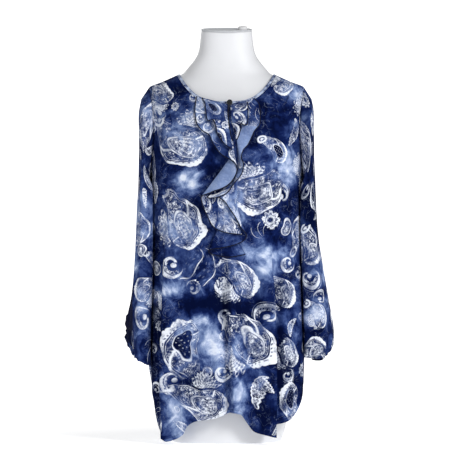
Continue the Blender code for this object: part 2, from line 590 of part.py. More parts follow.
# ---------------------------------------------------------------- sleeves and cuffs
def ring_point(side, ring, turn, waves):
    """Point of a sleeve ring; turn is 90 degrees on its outer side and 0 at the front."""
    angle = math.radians(turn)
    out, forward = math.sin(angle), math.cos(angle)
    out = math.copysign(abs(out) ** 0.85, out)
    dented = math.exp(-((turn - 90.0) / 38.0) ** 2)
    wave = ring.gather * math.sin(waves * angle)
    half_x = 0.5 * (ring.outer - ring.inner)
    half_z = 0.5 * (ring.outer_z - ring.inner_z)
    reach = 1.0 + wave / max(math.hypot(half_x, half_z), 0.012)
    out_x = 0.5 * (ring.outer + ring.inner) + half_x * out * reach - ring.slant * forward
    out_x -= ring.dent * dented
    height = 0.5 * (ring.outer_z + ring.inner_z) + half_z * out - ring.droop * forward
    y = ring.middle_y - (ring.half_depth + wave) * forward
    return Vector((side * out_x, y, height))


def build_tube(name, side, rings, loop, around, steps, waves, material, wall):
    """A tube of cloth through its rings, starting at `loop` when that is given."""
    turns = [-90.0 + 360.0 * k / around for k in range(around)]
    rows = []
    if loop:
        rows.append([loop(side, turn) + Vector((side * SEAM_GAP * 1.6, 0.0, 0.0)) for turn in turns])
    for position in steps:
        ring = Ring(*[read_rows(rings, column, position) for column in Ring._fields])
        rows.append([ring_point(side, ring, turn, waves) for turn in turns])
    points = [point for row in rows for point in row]
    quads = grid_quads(len(rows), around, closed=True)
    if side > 0.0:
        quads = [quad[::-1] for quad in quads]
    flat = {number: 0 for number in range(around)} if loop else None
    return cloth_wall(name, points, quads, wall, material, flat=flat)


def build_sleeves(cloth):
    steps = list(range(len(SLEEVE_LEFT)))
    build_tube("sleeve_left", -1.0, SLEEVE_LEFT, armhole_edge, SLEEVE_AROUND, steps, SLEEVE_GATHERS,
               cloth, BODY_WALL)
    build_tube("sleeve_right", 1.0, SLEEVE_RIGHT, armhole_edge, SLEEVE_AROUND, steps, SLEEVE_GATHERS,
               cloth, BODY_WALL)
    steps = list(range(len(CUFF_LEFT)))
    build_tube("cuff_left", -1.0, CUFF_LEFT, None, 4 * CUFF_RUCHES, steps, CUFF_RUCHES,
               cloth, BODY_WALL)
    build_tube("cuff_right", 1.0, CUFF_RIGHT, None, 4 * CUFF_RUCHES, steps, CUFF_RUCHES,
               cloth, BODY_WALL)


# ---------------------------------------------------------------- flounces
def flounce_point(line, across):
    """Point of a flounce line, from its root at 0 to its free edge at 1."""
    x = FLOUNCES_X + line.root_x + (line.edge_x - line.root_x) * across
    z = line.root_z + (line.edge_z - line.root_z) * across
    lift = line.root_lift + (line.edge_lift - line.root_lift) * across
    middle_lift = 0.5 * (line.root_lift + line.edge_lift)
    lift += (line.belly - middle_lift) * 4.0 * across * (1.0 - across)
    return Vector((x, front_surface_y(x, z) - SEAM_GAP - FLOUNCE_WALL - lift, z))


def build_flounce(name, lines, rows_per_line, across_count, side, material):
    count = (len(lines) - 1) * rows_per_line + 1
    points = []
    for k in range(count):
        line = Line(*[read_rows(lines, column, k / rows_per_line) for column in Line._fields])
        points += [flounce_point(line, c / (across_count - 1)) for c in range(across_count)]
    quads = grid_quads(count, across_count)
    if side < 0.0:
        quads = [quad[::-1] for quad in quads]
    quads = [quad[::-1] for quad in quads]
    return cloth_wall(name, points, quads, FLOUNCE_WALL, material, outside=0.5)


def build_flounces(cloth):
    build_flounce("flounce_left_long", FLOUNCE_LEFT_LONG, 2, 6, -1.0, cloth)
    build_flounce("flounce_right_long", FLOUNCE_RIGHT_LONG, 2, 6, 1.0, cloth)
    build_flounce("flounce_left_short", FLOUNCE_LEFT_SHORT, 2, 6, -1.0, cloth)
    build_flounce("flounce_right_short", FLOUNCE_RIGHT_SHORT, 2, 6, 1.0, cloth)


# ---------------------------------------------------------------- neck binding, button, loop
def build_binding(material):
    """Bias strip between the panels' top edges and the finished neckline, open at the slit."""
    front_angles = [angle for angle in panel_columns(False) if abs(angle) <= NECK_ANGLE]
    back_angles = [angle for angle in panel_columns(True) if abs(angle) < NECK_ANGLE]
    slit = front_angles.index(SLIT_ANGLE)
    stations = [(angle, False) for angle in front_angles[slit:]]
    stations += [(angle, True) for angle in reversed(back_angles)]
    stations += [(angle, False) for angle in front_angles[:slit + 1]]
    outer = [neckline_point(angle, back, BINDING_HEIGHT) for angle, back in stations]
    inner = [neckline_point(angle, back) for angle, back in stations]
    for line in (outer, inner):
        line[0].x += SLIT_HALF_WIDTH
        line[-1].x -= SLIT_HALF_WIDTH
    rows = []
    shell = bmesh.new()
    for low, high in zip(outer, inner):
        facing = normal_at(low)
        near_edge = low.lerp(high, 0.8)
        corners = [
            low - facing * BODY_WALL, low + facing * SEAM_GAP, near_edge + facing * SEAM_GAP,
            high - facing * 0.3 * BINDING_WALL, high - facing * 0.6 * BINDING_WALL,
            near_edge - facing * BODY_WALL,
        ]
        rows.append([shell.verts.new(corner) for corner in corners])
    for row, after in zip(rows, rows[1:]):
        for k in range(6):
            n = (k + 1) % 6
            shell.faces.new([row[k], row[n], after[n], after[k]])
    shell.faces.new(rows[0][::-1])
    shell.faces.new(rows[-1])
    return finish_mesh("neck_binding", shell, material)


def build_button(material):
    """Domed button with a short shank, lying over the slit at the neckline."""
    seat = neckline_point(SLIT_ANGLE, False, 0.5 * BINDING_HEIGHT)
    seat.y -= 4.0 * SEAM_GAP
    profile = [
        (0.0, 0.0), (BUTTON_SHANK_RADIUS, 0.0), (BUTTON_SHANK_RADIUS, BUTTON_SHANK_LENGTH),
        (0.90 * BUTTON_RADIUS, BUTTON_SHANK_LENGTH),
        (BUTTON_RADIUS, BUTTON_SHANK_LENGTH + 0.35 * BUTTON_THICKNESS),
        (0.86 * BUTTON_RADIUS, BUTTON_SHANK_LENGTH + 0.75 * BUTTON_THICKNESS),
        (0.48 * BUTTON_RADIUS, BUTTON_SHANK_LENGTH + 0.95 * BUTTON_THICKNESS),
        (0.0, BUTTON_SHANK_LENGTH + BUTTON_THICKNESS),
    ]
    around = 18
    shell = bmesh.new()
    rings = []
    for radius, forward in profile:
        count = 1 if radius == 0.0 else around
        turns = [2.0 * math.pi * k / around for k in range(count)]
        rings.append([
            shell.verts.new((seat.x + radius * math.cos(turn), seat.y - forward,
                             seat.z + radius * math.sin(turn)))
            for turn in turns
        ])
    for ring, after in zip(rings, rings[1:]):
        for k in range(around):
            n = (k + 1) % around
            corners = [ring[k % len(ring)], ring[n % len(ring)],
                       after[n % len(after)], after[k % len(after)]]
            shell.faces.new(list(dict.fromkeys(corners)))
    return finish_mesh("button", shell, material)


def build_button_loop(material):
    """Cord loop from the left edge of the slit round the button's shank."""
    seat = neckline_point(SLIT_ANGLE, False, 0.5 * BINDING_HEIGHT)
    reach = BUTTON_SHANK_RADIUS + LOOP_CORD_RADIUS + 0.0006
    ends = [(-LOOP_REACH, -reach), (-0.5 * LOOP_REACH, -reach)]
    bend = [(reach * math.cos(turn), reach * math.sin(turn))
            for turn in (math.radians(-90.0 + 30.0 * k) for k in range(7))]
    route = ends + bend + [(x, -z) for x, z in reversed(ends)]
    curve = bpy.data.curves.new("button_loop", "CURVE")
    curve.dimensions = "3D"
    curve.bevel_depth = LOOP_CORD_RADIUS
    curve.bevel_resolution = 1
    curve.use_fill_caps = True
    spline = curve.splines.new("POLY")
    spline.points.add(len(route) - 1)
    for spot, (x, z) in zip(spline.points, route):
        y = front_surface_y(seat.x + x, seat.z + z) - LOOP_LIFT
        spot.co = (seat.x + x, y, seat.z + z, 1.0)
    made = bpy.data.objects.new("button_loop", curve)
    curve.materials.append(material)
    bpy.context.scene.collection.objects.link(made)
    return made


# ---------------------------------------------------------------- dress form
def form_point(angle, height, share=1.0):
    radius = section_radius(FORM_SECTIONS, angle, height) * share
    return Vector((radius * math.sin(angle), -radius * math.cos(angle), height))


def on_neck_top(x, y, lift):
    """Point above the sloping plane that the form's neck ends on."""
    return Vector((x, y, NECK_TOP_HEIGHT + NECK_TOP_TILT * y + lift))


def turned_solid(name, rings, material):
    """Closed solid through its rings of points, each end closed by a flat face."""
    around = len(rings[0])
    shell = bmesh.new()
    rows = [[shell.verts.new(point) for point in ring] for ring in rings]
    for row, after in zip(rows, rows[1:]):
        for k in range(around):
            n = (k + 1) % around
            shell.faces.new([row[k], row[n], after[n], after[k]])
    shell.faces.new(rows[0])
    shell.faces.new(rows[-1])
    return finish_mesh(name, shell, material)


def build_torso(material):
    """Smooth limbless torso with a short neck, standing on its flat base."""
    heights = [row.height for row in FORM_SECTIONS]
    extra = [0.5 * (low + high) for low, high in zip(heights, heights[1:]) if high - low > 0.05]
    turns = [2.0 * math.pi * k / 32 for k in range(32)]
    rings = [[form_point(turn, height) for turn in turns] for height in sorted(heights + extra)]
    rings[-1] = [on_neck_top(point.x, point.y, 0.0) for point in rings[-1]]
    return turned_solid("form_torso", rings, material)


def build_neck_cap(material):
    """Dished cap on the neck, with a low rim."""
    profile = [
        (0.975, SEAM_GAP), (1.0, 0.2 * CAP_RIM_HEIGHT), (1.0, 0.8 * CAP_RIM_HEIGHT),
        (0.975, CAP_RIM_HEIGHT), (0.945, CAP_RIM_HEIGHT), (0.90, CAP_FLOOR_HEIGHT),
    ]
    top = FORM_SECTIONS[-1].height
    rings = []
    for share, lift in profile:
        outline = [form_point(2.0 * math.pi * k / 32, top, share) for k in range(32)]
        rings.append([on_neck_top(point.x, point.y, lift) for point in outline])
    return turned_solid("form_neck_cap", rings, material)


def build_neck_plug(material):
    """Low domed plug that sits in the cap, right of its middle."""
    profile = [(0.94, 0.0), (1.0, 0.12), (1.0, 0.62), (0.86, 0.85), (0.55, 0.97), (0.25, 1.0)]
    rings = []
    for share, rise in profile:
        lift = CAP_FLOOR_HEIGHT + SEAM_GAP + PLUG_HEIGHT * rise
        turns = [2.0 * math.pi * k / 18 for k in range(18)]
        rings.append([
            on_neck_top(PLUG_X + PLUG_RADIUS * share * math.sin(turn),
                        PLUG_Y - PLUG_RADIUS * share * math.cos(turn), lift)
            for turn in turns
        ])
    return turned_solid("form_neck_plug", rings, material)


# ---------------------------------------------------------------- the whole part
def build_all():
    clear_scene()
    cloth = cloth_material("printed_cloth", (0.075, 0.12, 0.36), 0.62)
    flounce_cloth = cloth_material("flounce_cloth", (0.09, 0.14, 0.40), 0.60)
    black = cloth_material("button_black", (0.012, 0.012, 0.018), 0.25)
    white = cloth_material("form_white", (0.86, 0.87, 0.89), 0.45)
    grey = cloth_material("form_cap_grey", (0.62, 0.64, 0.67), 0.5)
    build_panel("front", False, 11, 12, cloth)
    build_panel("back", True, 9, 10, cloth)
    build_sleeves(cloth)
    build_flounces(flounce_cloth)
    build_binding(cloth)
    build_button(black)
    build_button_loop(black)
    build_torso(white)
    build_neck_cap(grey)
    build_neck_plug(white)


build_all()
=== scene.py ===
import math

import bmesh
import bpy
import numpy as np
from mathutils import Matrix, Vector


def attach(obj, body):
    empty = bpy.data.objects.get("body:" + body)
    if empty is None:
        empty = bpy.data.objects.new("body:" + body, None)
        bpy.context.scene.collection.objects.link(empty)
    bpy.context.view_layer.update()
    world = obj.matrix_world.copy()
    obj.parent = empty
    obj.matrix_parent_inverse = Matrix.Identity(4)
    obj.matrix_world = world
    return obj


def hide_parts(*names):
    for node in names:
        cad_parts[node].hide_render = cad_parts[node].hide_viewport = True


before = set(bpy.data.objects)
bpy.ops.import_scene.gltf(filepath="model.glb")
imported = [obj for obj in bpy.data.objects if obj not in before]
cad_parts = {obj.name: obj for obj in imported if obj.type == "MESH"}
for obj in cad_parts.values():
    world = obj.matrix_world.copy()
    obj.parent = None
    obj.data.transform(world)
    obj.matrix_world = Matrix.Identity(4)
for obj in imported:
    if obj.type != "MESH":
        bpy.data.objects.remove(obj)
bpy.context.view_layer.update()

# ---------------------------------------------------------------- the view
# The tunic is seen square on from the front, at the height of its middle, from far enough
# away that both sleeves keep their true width. The form's base stands on the floor at Z = 0.
VIEW_DISTANCE = 6.5
VIEW_WIDTH = 1.012
VIEW_X, VIEW_Z = 0.0074, 0.4642
SENSOR_WIDTH = 36.0         # mm, as the lens
view_data = bpy.data.cameras.new("view")
view_data.sensor_width = SENSOR_WIDTH
view_data.lens = SENSOR_WIDTH * VIEW_DISTANCE / VIEW_WIDTH
view = bpy.data.objects.new("view", view_data)
view.location = (VIEW_X, -VIEW_DISTANCE, VIEW_Z)
view.rotation_euler = (math.radians(90.0), 0.0, 0.0)
bpy.context.scene.collection.objects.link(view)
bpy.context.scene.camera = view

# ---------------------------------------------------------------- dress form
# A limbless torso moulded in white plastic in one piece, cut off flat under the hips to stand
# on a table. Its neck ends in a thin cap with a recessed floor, coloured grey as painted
# shade of the hollow neck; a small moulded plug closes the fixing hole right of the cap's middle.
FORM_WHITE = (0.800, 0.810, 0.838)
# painted shade: the cap's grey stands for the shade inside the form's hollow neck
CAP_SHADE_GREY = (0.60, 0.62, 0.65)
PLUG_WHITE = (0.88, 0.88, 0.89)
MOULD_EDGE_ANGLE = math.radians(38.0)
MOULD_LEVELS = 2


class Mark:
    """A number that varies over a surface; sums of marks become Math nodes in its material."""

    def __init__(self, tree, socket):
        self.tree, self.socket = tree, socket

    def make(self, operation, *others, clamp=False):
        node = self.tree.nodes.new("ShaderNodeMath")
        node.operation = operation
        node.use_clamp = clamp
        for slot, value in zip(node.inputs, (self, *others)):
            if isinstance(value, Mark):
                self.tree.links.new(value.socket, slot)
            else:
                slot.default_value = value
        return Mark(self.tree, node.outputs[0])

    def __add__(self, other):
        return self.make("ADD", other)

    def __sub__(self, other):
        return self.make("SUBTRACT", other)

    def __mul__(self, other):
        return self.make("MULTIPLY", other)

    def __truediv__(self, other):
        return self.make("DIVIDE", other)

    def flipped(self):
        return (self * -1.0) + 1.0

    def abs(self):
        return self.make("ABSOLUTE")

    def below(self, edge, soft=0.05):
        """1 under the edge, 0 over it."""
        return ((self - edge) / -soft).make("ADD", 0.5, clamp=True)

    def above(self, edge, soft=0.05):
        return ((self - edge) / soft).make("ADD", 0.5, clamp=True)

    def near(self, middle, half_width, soft=0.03):
        """1 within half_width of the middle, as a drawn line."""
        return (self - middle).abs().below(half_width, soft)

    def most(self, *others):
        result = self
        for other in others:
            result = result.make("MAXIMUM", other)
        return result


def new_material(name, roughness, specular=0.5, sheen=0.0, coat=0.0):
    """A material, its tree and shader, and the socket that gives places on the object."""
    material = bpy.data.materials.new(name)
    material.use_nodes = True
    shader = material.node_tree.nodes["Principled BSDF"]
    shader.inputs["Roughness"].default_value = roughness
    shader.inputs["Specular IOR Level"].default_value = specular
    shader.inputs["Sheen Weight"].default_value = sheen
    shader.inputs["Sheen Roughness"].default_value = 0.45
    shader.inputs["Coat Weight"].default_value = coat
    tree = material.node_tree
    return material, tree, shader, tree.nodes.new("ShaderNodeTexCoord").outputs["Object"]


def noise_mark(tree, place, scale, detail=3.0, roughness=0.55, distortion=0.0):
    noise = tree.nodes.new("ShaderNodeTexNoise")
    noise.inputs["Scale"].default_value = scale
    noise.inputs["Detail"].default_value = detail
    noise.inputs["Roughness"].default_value = roughness
    noise.inputs["Distortion"].default_value = distortion
    tree.links.new(place, noise.inputs["Vector"])
    return Mark(tree, noise.outputs["Fac"])


def colour_ramp(tree, mark, stops):
    """Colours along a mark, from two or more stops in rising order."""
    ramp = tree.nodes.new("ShaderNodeValToRGB")
    tree.links.new(mark.socket, ramp.inputs["Fac"])
    for at, colour in stops[1:-1]:
        ramp.color_ramp.elements.new(at)
    for element, (at, colour) in zip(ramp.color_ramp.elements, stops):
        element.position = at
        element.color = (*colour, 1.0)
    return ramp.outputs["Color"]


def bump_from(tree, shader, mark, distance, strength=1.0):
    bump = tree.nodes.new("ShaderNodeBump")
    bump.inputs["Distance"].default_value = distance
    bump.inputs["Strength"].default_value = strength
    tree.links.new(mark.socket, bump.inputs["Height"])
    tree.links.new(bump.outputs["Normal"], shader.inputs["Normal"])


def moulded_plastic(name, colour, roughness):
    """Satin moulded plastic: a faint mottle in its colour, and the fine grain of the mould."""
    material, tree, shader, place = new_material(name, roughness, specular=0.35)
    mottle = noise_mark(tree, place, 18.0)
    dim = tuple(0.965 * part for part in colour)
    stops = [(0.3, dim), (0.7, colour)]
    tree.links.new(colour_ramp(tree, mottle, stops), shader.inputs["Base Color"])
    worn = noise_mark(tree, place, 60.0) * 0.12 + (roughness - 0.06)
    tree.links.new(worn.socket, shader.inputs["Roughness"])
    bump_from(tree, shader, noise_mark(tree, place, 900.0, 2.0), 0.00012, 0.5)
    return material


def moulded_copy(node, name, material):
    """The node's shape, made smooth: its triangles joined, its edges creased, subdivided."""
    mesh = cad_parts[node].data.copy()
    mesh.name = name
    piece = bpy.data.objects.new(name, mesh)
    bpy.context.scene.collection.objects.link(piece)
    bpy.ops.object.select_all(action="DESELECT")
    piece.select_set(True)
    bpy.context.view_layer.objects.active = piece
    bpy.ops.object.mode_set(mode="EDIT")
    bpy.ops.mesh.select_all(action="SELECT")
    bpy.ops.mesh.remove_doubles(threshold=0.00001)
    bpy.ops.mesh.tris_convert_to_quads()
    bpy.ops.mesh.select_all(action="DESELECT")
    bpy.ops.mesh.edges_select_sharp(sharpness=MOULD_EDGE_ANGLE)
    bpy.ops.transform.edge_crease(value=0.85)
    bpy.ops.object.mode_set(mode="OBJECT")
    smooth = piece.modifiers.new("smooth", "SUBSURF")
    smooth.levels = smooth.render_levels = MOULD_LEVELS
    bpy.ops.object.modifier_apply(modifier="smooth")
    bpy.ops.object.shade_smooth_by_angle(angle=math.radians(35.0))
    mesh.materials.clear()
    mesh.materials.append(material)
    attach(piece, "root")
    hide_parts(node)


form_plastic = moulded_plastic("form_plastic", FORM_WHITE, 0.46)
cap_plastic = moulded_plastic("cap_plastic", CAP_SHADE_GREY, 0.5)
plug_plastic = moulded_plastic("plug_plastic", PLUG_WHITE, 0.42)
moulded_copy("form_torso", "dress_form", form_plastic)
moulded_copy("form_neck_cap", "neck_cap", cap_plastic)
moulded_copy("form_neck_plug", "neck_plug", plug_plastic)

# ---------------------------------------------------------------- printed crepe
# The roll that panels, sleeves, cuffs and flounces are cut from: thin viscose crepe, dyed in
# clouded blues from navy to pale sky, then overprinted in white with paisleys, curls, leaves,
# rosettes and drops. Its back is the same blues, much paler, with the print only faint.
DEEP_NAVY = (0.0009, 0.0034, 0.028)
NAVY = (0.0042, 0.0120, 0.074)
MID_BLUE = (0.034, 0.062, 0.195)
SKY_BLUE = (0.160, 0.232, 0.440)
PALE_SKY = (0.420, 0.505, 0.720)
CLOUD_WHITE = (0.720, 0.780, 0.910)
INK_WHITE = (0.870, 0.910, 0.990)
INK_THIN = (0.220, 0.300, 0.520)
REVERSE_BLUE = (0.215, 0.300, 0.540)
CLOTH_THICKNESS = 0.0009
EVEN_TONE = 0.33           # the dye's tone where no patch lies
FAR_FROM_HEM = 0.05        # for pieces without a stitched hem
STITCH_ROW = 0.0075        # from the hem
STITCH_HALF_WIDTH = 0.0005
STITCH_BLUR = 0.0006
STITCH_LENGTH = 0.0032
PAISLEY, CURL, LEAF, ROSETTE, DROP, SPRAY = 0, 1, 2, 3, 4, 5


def attribute_marks(tree, name):
    """The three numbers that a piece stores under this name."""
    source = tree.nodes.new("ShaderNodeAttribute")
    source.attribute_name = name
    parts = tree.nodes.new("ShaderNodeSeparateXYZ")
    tree.links.new(source.outputs["Vector"], parts.inputs[0])
    return [Mark(tree, output) for output in parts.outputs]


def distance(x, y):
    return ((x * x) + (y * y)).make("SQRT")


def paisley_ink(x, y, seed, lace, clump):
    """A comma bent over at its tip, as ink, outline and dark hollow: a bright band on its outer
    side, fretwork, an inner pear that is dark or ringed, a scroll line, a curl at the tip and
    a beaded fan at its back."""
    other = (seed * 7.3).make("FRACT")
    rise = y.make("MAXIMUM", 0.0)
    bent = x + rise * rise * 0.80
    radius = distance(bent, y)
    angle = bent.make("ARCTAN2", y)
    tip = angle.make("COSINE").make("MAXIMUM", 0.0).make("POWER", 3.0)
    depth = radius / (tip * 0.56 + 0.42)
    lean = (angle + 2.75).make("SINE") * -0.5 + 0.5
    rim = (angle * 9.0).make("SINE").abs() * lean * 0.045 + 0.965
    band_from = lean * lean * (other * -0.12 - 0.22) + 0.95
    band = depth.below(rim, 0.03) * depth.above(band_from, 0.04)
    spots = (angle * 21.0).make("SINE").above(0.15, 0.4)
    spots = spots * depth.near(band_from + 0.055, 0.03, 0.03)
    band = band * (lace * 0.30 + lean * 1.15 + 0.06) * (spots * 0.7).flipped()
    line = depth.near(band_from - 0.075, 0.017, 0.025) * (clump * 0.6 + 0.4)
    frets = depth.below(band_from - 0.115, 0.03) * depth.above(0.50, 0.04)
    frets = frets * (lace * 0.75 + 0.12) * (clump * 0.85 + 0.15)
    pear_line = depth.near(0.46, 0.030, 0.03) * ((angle + 0.9).make("SINE") * 0.30 + 0.70)
    full = seed.above(0.30, 0.02)
    rings = (depth * 34.0 + (angle * 3.0).make("SINE") * 1.5).make("SINE").above(0.35, 0.5)
    ball = depth.below(0.42, 0.03) * full * (rings * 0.30 + lace * 0.45 + clump * 0.30)
    void = depth.below(0.43, 0.03) * full.flipped()
    seeds = (x * 40.0).make("SINE") * (y * 40.0).make("SINE")
    scroll = ((y * 3.1 + 0.5).make("SINE") * 0.24 - x - 0.17).near(0.0, 0.024, 0.025)
    scroll = scroll * y.above(-0.36, 0.05) * y.below(0.72, 0.05) * depth.near(0.72, 0.24, 0.03)
    curl_x, curl_y = x + 0.66, y - 0.84
    curl = distance(curl_x, curl_y)
    hook = curl.near(0.155, 0.045, 0.03).most(curl.below(0.06, 0.03))
    fan_x, fan_y = x + 0.44, y + 0.02
    fan_radius = distance(fan_x, fan_y)
    fan_angle = fan_x.make("ARCTAN2", fan_y)
    petals = (fan_angle * 8.0).make("SINE").abs()
    eyelet = fan_radius.near(0.365, 0.020, 0.02) * petals.above(0.70, 0.1)
    rows = ((fan_angle * 16.0).make("SINE") * (fan_radius * 50.0).make("SINE")).above(0.0, 0.4)
    fan = fan_radius.below(petals * 0.10 + 0.33, 0.03) * depth.above(1.07, 0.03)
    fan = fan * (rows * 0.45 + lace * 0.35 + 0.25) * eyelet.flipped() * seed.above(0.35, 0.02)
    ink = band.most(line, frets, pear_line * 0.9, ball, scroll, fan, hook * 0.9,
                    void * seeds.above(0.72, 0.2) * 0.5)
    return ink, depth.below(1.0, 0.1).most(curl.below(0.21, 0.05)), void


def curl_ink(x, y, seed, lace, clump):
    """A bright crescent, open on one side, that hooks back into a small solid ball, with a
    web of fine lines in its bend."""
    radius = distance(x, y)
    bend_x, bend_y = x - 0.15, y - 0.12
    bend = distance(bend_x, bend_y)
    crescent = radius.below(0.88, 0.06) * bend.above(0.72, 0.05) * (lace * 0.25 + 0.75)
    hook_x, hook_y = x - 0.02, y - 0.36
    hook_radius = distance(hook_x, hook_y)
    hook = hook_radius.near(0.40, 0.085, 0.06) * (hook_y * 1.4 - hook_x * 0.6).above(-0.10, 0.2)
    ball_x, ball_y = x - 0.26, y - 0.20
    ball = distance(ball_x, ball_y).below(0.22, 0.06)
    back = radius.near(1.02, 0.022, 0.04) * (x + y).below(0.2, 0.3) * seed.above(0.4, 0.1)
    web = bend.near(0.54, 0.13, 0.05) * lace * (x + y).below(0.3, 0.3) * 0.8
    return crescent.most(hook * 0.9, ball * 0.85, back * 0.7, web)


def leaf_ink(x, y, seed, lace, clump):
    """A pointed leaf with side veins and a toothed edge."""
    bent = x + (y * y) * 0.30
    teeth = (y * 13.0).make("SINE").abs() * 0.07
    width = ((y * y) * -1.0 + 1.0).make("MAXIMUM", 0.0) * 0.34 + teeth - 0.03
    inside = bent.abs().below(width, 0.04) * y.abs().below(0.93, 0.04)
    outline = (bent.abs() - width).near(-0.05, 0.045, 0.03) * inside
    veins = (y * 15.0 - bent.abs() * 13.0).make("SINE").above(0.2, 0.6) * inside
    return outline.most(veins * 0.4, inside * lace * 0.9)


def rosette_ink(x, y, seed, lace, clump):
    """A round flower: ragged petals round a ring of dots and an eye."""
    radius = distance(x, y)
    angle = x.make("ARCTAN2", y)
    edge = (angle * 4.5 + seed * 3.0).make("SINE").abs() * 0.22 + (lace * 0.10 + 0.62)
    outline = radius.near(edge - 0.10, 0.09, 0.08)
    filled = radius.below(edge, 0.05) * (lace * 0.7 + 0.12)
    ring = radius.near(0.34, 0.07, 0.06) * 0.8
    return outline.most(filled, ring) * (radius.below(0.2) * 0.8).flipped()


def drop_ink(x, y, seed, lace, clump):
    """An open teardrop with a double outline and a small solid drop inside."""
    radius = distance(x, y)
    angle = x.make("ARCTAN2", y) + radius * 0.8
    tip = angle.make("COSINE").make("MAXIMUM", 0.0).make("POWER", 3.5)
    depth = radius / (tip * 0.50 + 0.48)
    outline = depth.near(0.90, 0.085, 0.05)
    core = depth.below(0.46, 0.10) * (lace * 0.5 + 0.45) * seed.above(0.4, 0.1)
    return outline.most(depth.near(0.66, 0.03, 0.04) * 0.8, core, depth.below(0.9) * lace * 0.5)


def spray_ink(x, y, seed, lace, clump):
    """Thin fern fronds that rise from one foot and sweep over to one side, strung with beads."""
    fan_y = y + 0.85
    radius = distance(x, fan_y)
    angle = x.make("ARCTAN2", fan_y) - radius * radius * 0.28 + 0.30
    fronds = (angle * 10.0 + seed * 6.0).make("SINE")
    reach = (angle * 10.0 + seed * 6.0).make("COSINE") * 0.15 + 1.42
    inside = radius.below(reach, 0.06) * angle.abs().below(0.85, 0.1) * radius.above(0.22, 0.1)
    stems = (angle * 5.0 + seed * 3.0).make("SINE").abs().below(0.10, 0.08)
    beads = (radius * 27.0).make("SINE").above(0.35, 0.5) * fronds.abs().near(0.55, 0.20, 0.2)
    return (stems * inside * 0.9).most(beads * inside * 0.25)


def dyed_and_shaded_ground(tree, place, tone):
    """Clouded dye: broad patches set by tone, which carries painted shade too, wisps that break
    their edges, and a fine bleed.
    """
    clouds = noise_mark(tree, place, 8.5, 4.0, 0.55, 0.9)
    wisps = noise_mark(tree, place, 27.0, 5.0, 0.62, 1.2)
    bleed = noise_mark(tree, place, 120.0, 3.0, 0.6)
    mixed = tone + (clouds - 0.5) * 1.75 + (wisps - 0.5) * 1.15 + (bleed - 0.5) * 0.30
    stops = [(0.04, DEEP_NAVY), (0.26, NAVY), (0.48, MID_BLUE), (0.68, SKY_BLUE),
             (0.85, PALE_SKY), (1.0, CLOUD_WHITE)]
    return colour_ramp(tree, mixed, stops)


def mix_colours(tree, share, first, second):
    mix = tree.nodes.new("ShaderNodeMix")
    mix.data_type = "RGBA"
    tree.links.new(share.socket, mix.inputs["Factor"])
    for slot, colour in ((mix.inputs["A"], first), (mix.inputs["B"], second)):
        if isinstance(colour, tuple):
            slot.default_value = (*colour, 1.0)
        else:
            tree.links.new(colour, slot)
    return mix.outputs["Result"]


def crepe_grain(tree, shader, place, stitched):
    """Twisted-yarn grain of crepe, and the pull of a row of stitches."""
    grain = noise_mark(tree, place, 1500.0, 2.0, 0.6) + noise_mark(tree, place, 420.0, 2.0) * 0.8
    bump_from(tree, shader, grain - stitched * 2.0, 0.00028, 0.55)


def printed_crepe(name):
    material, tree, shader, place = new_material(name, 0.78, specular=0.02, sheen=0.002)
    shader.inputs["Sheen Tint"].default_value = (0.45, 0.55, 1.0, 1.0)
    tone, edge, run = attribute_marks(tree, "cloth")
    fine = noise_mark(tree, place, 300.0, 3.0, 0.6)
    lace = noise_mark(tree, place, 125.0, 3.0, 0.55, 1.4).near(0.5, 0.026, 0.035) * 0.8
    lace = lace.most(noise_mark(tree, place, 230.0, 2.0, 0.6, 0.4).above(0.545, 0.06))
    clump = noise_mark(tree, place, 62.0, 3.0, 0.6, 0.7).above(0.49, 0.14)
    wave = (noise_mark(tree, place, 15.0, 1.0) - 0.5) * 0.42
    sway = (noise_mark(tree, place, 18.0, 1.0, 0.5, 0.3) - 0.5) * 0.42
    x, y, kind = attribute_marks(tree, "large_motif")
    x, y = x + wave, y + sway
    large, inside, void = paisley_ink(x, y, kind.make("FRACT"), lace, clump)
    # Every small motif takes the same five marks, though not each of them uses all five.
    draw = {CURL: curl_ink, LEAF: leaf_ink, ROSETTE: rosette_ink, DROP: drop_ink,
            SPRAY: spray_ink}
    x, y, kind = attribute_marks(tree, "small_motif")
    x, y = x + wave * 1.5, y + sway * 1.5
    small = None
    for number, make_ink in draw.items():
        chosen = kind.near(number + 0.5, 0.5, 0.001)
        drawn = make_ink(x, y, kind.make("FRACT"), lace, clump) * chosen
        small = small + drawn if small else drawn
    ink = large.most(small * (inside * 0.9).flipped())
    ground = dyed_and_shaded_ground(tree, place, tone + inside * 0.05 - void * 0.45)
    worn = noise_mark(tree, place, 34.0, 4.0, 0.6).above(0.45, 0.20) * 0.62 + 0.38
    broken = fine.above(0.40, 0.10) * 0.25 + 0.75
    ghost = noise_mark(tree, place, 46.0, 2.0, 0.5, 1.3).near(0.5, 0.010, 0.02)
    ghost = ghost * noise_mark(tree, place, 13.0, 2.0).above(0.50, 0.10) * 0.26
    # Where the tone falls below zero, in the strips of painted shade, the print is hidden as well.
    ink = (ink * worn * broken).most(ghost) * tone.above(-0.02, 0.2)
    white = colour_ramp(tree, ink, [(0.10, INK_THIN), (0.72, INK_WHITE)])
    colour = mix_colours(tree, ink.make("MINIMUM", 0.97), ground, white)
    dashes = (run * (2.0 * math.pi / STITCH_LENGTH)).make("SINE").above(0.0, 0.6)
    stitched = edge.near(STITCH_ROW, STITCH_HALF_WIDTH, STITCH_BLUR) * (dashes * 0.7 + 0.3)
    colour = mix_colours(tree, stitched * 0.7, colour, DEEP_NAVY)
    tree.links.new(colour, shader.inputs["Base Color"])
    crepe_grain(tree, shader, place, stitched)
    return material


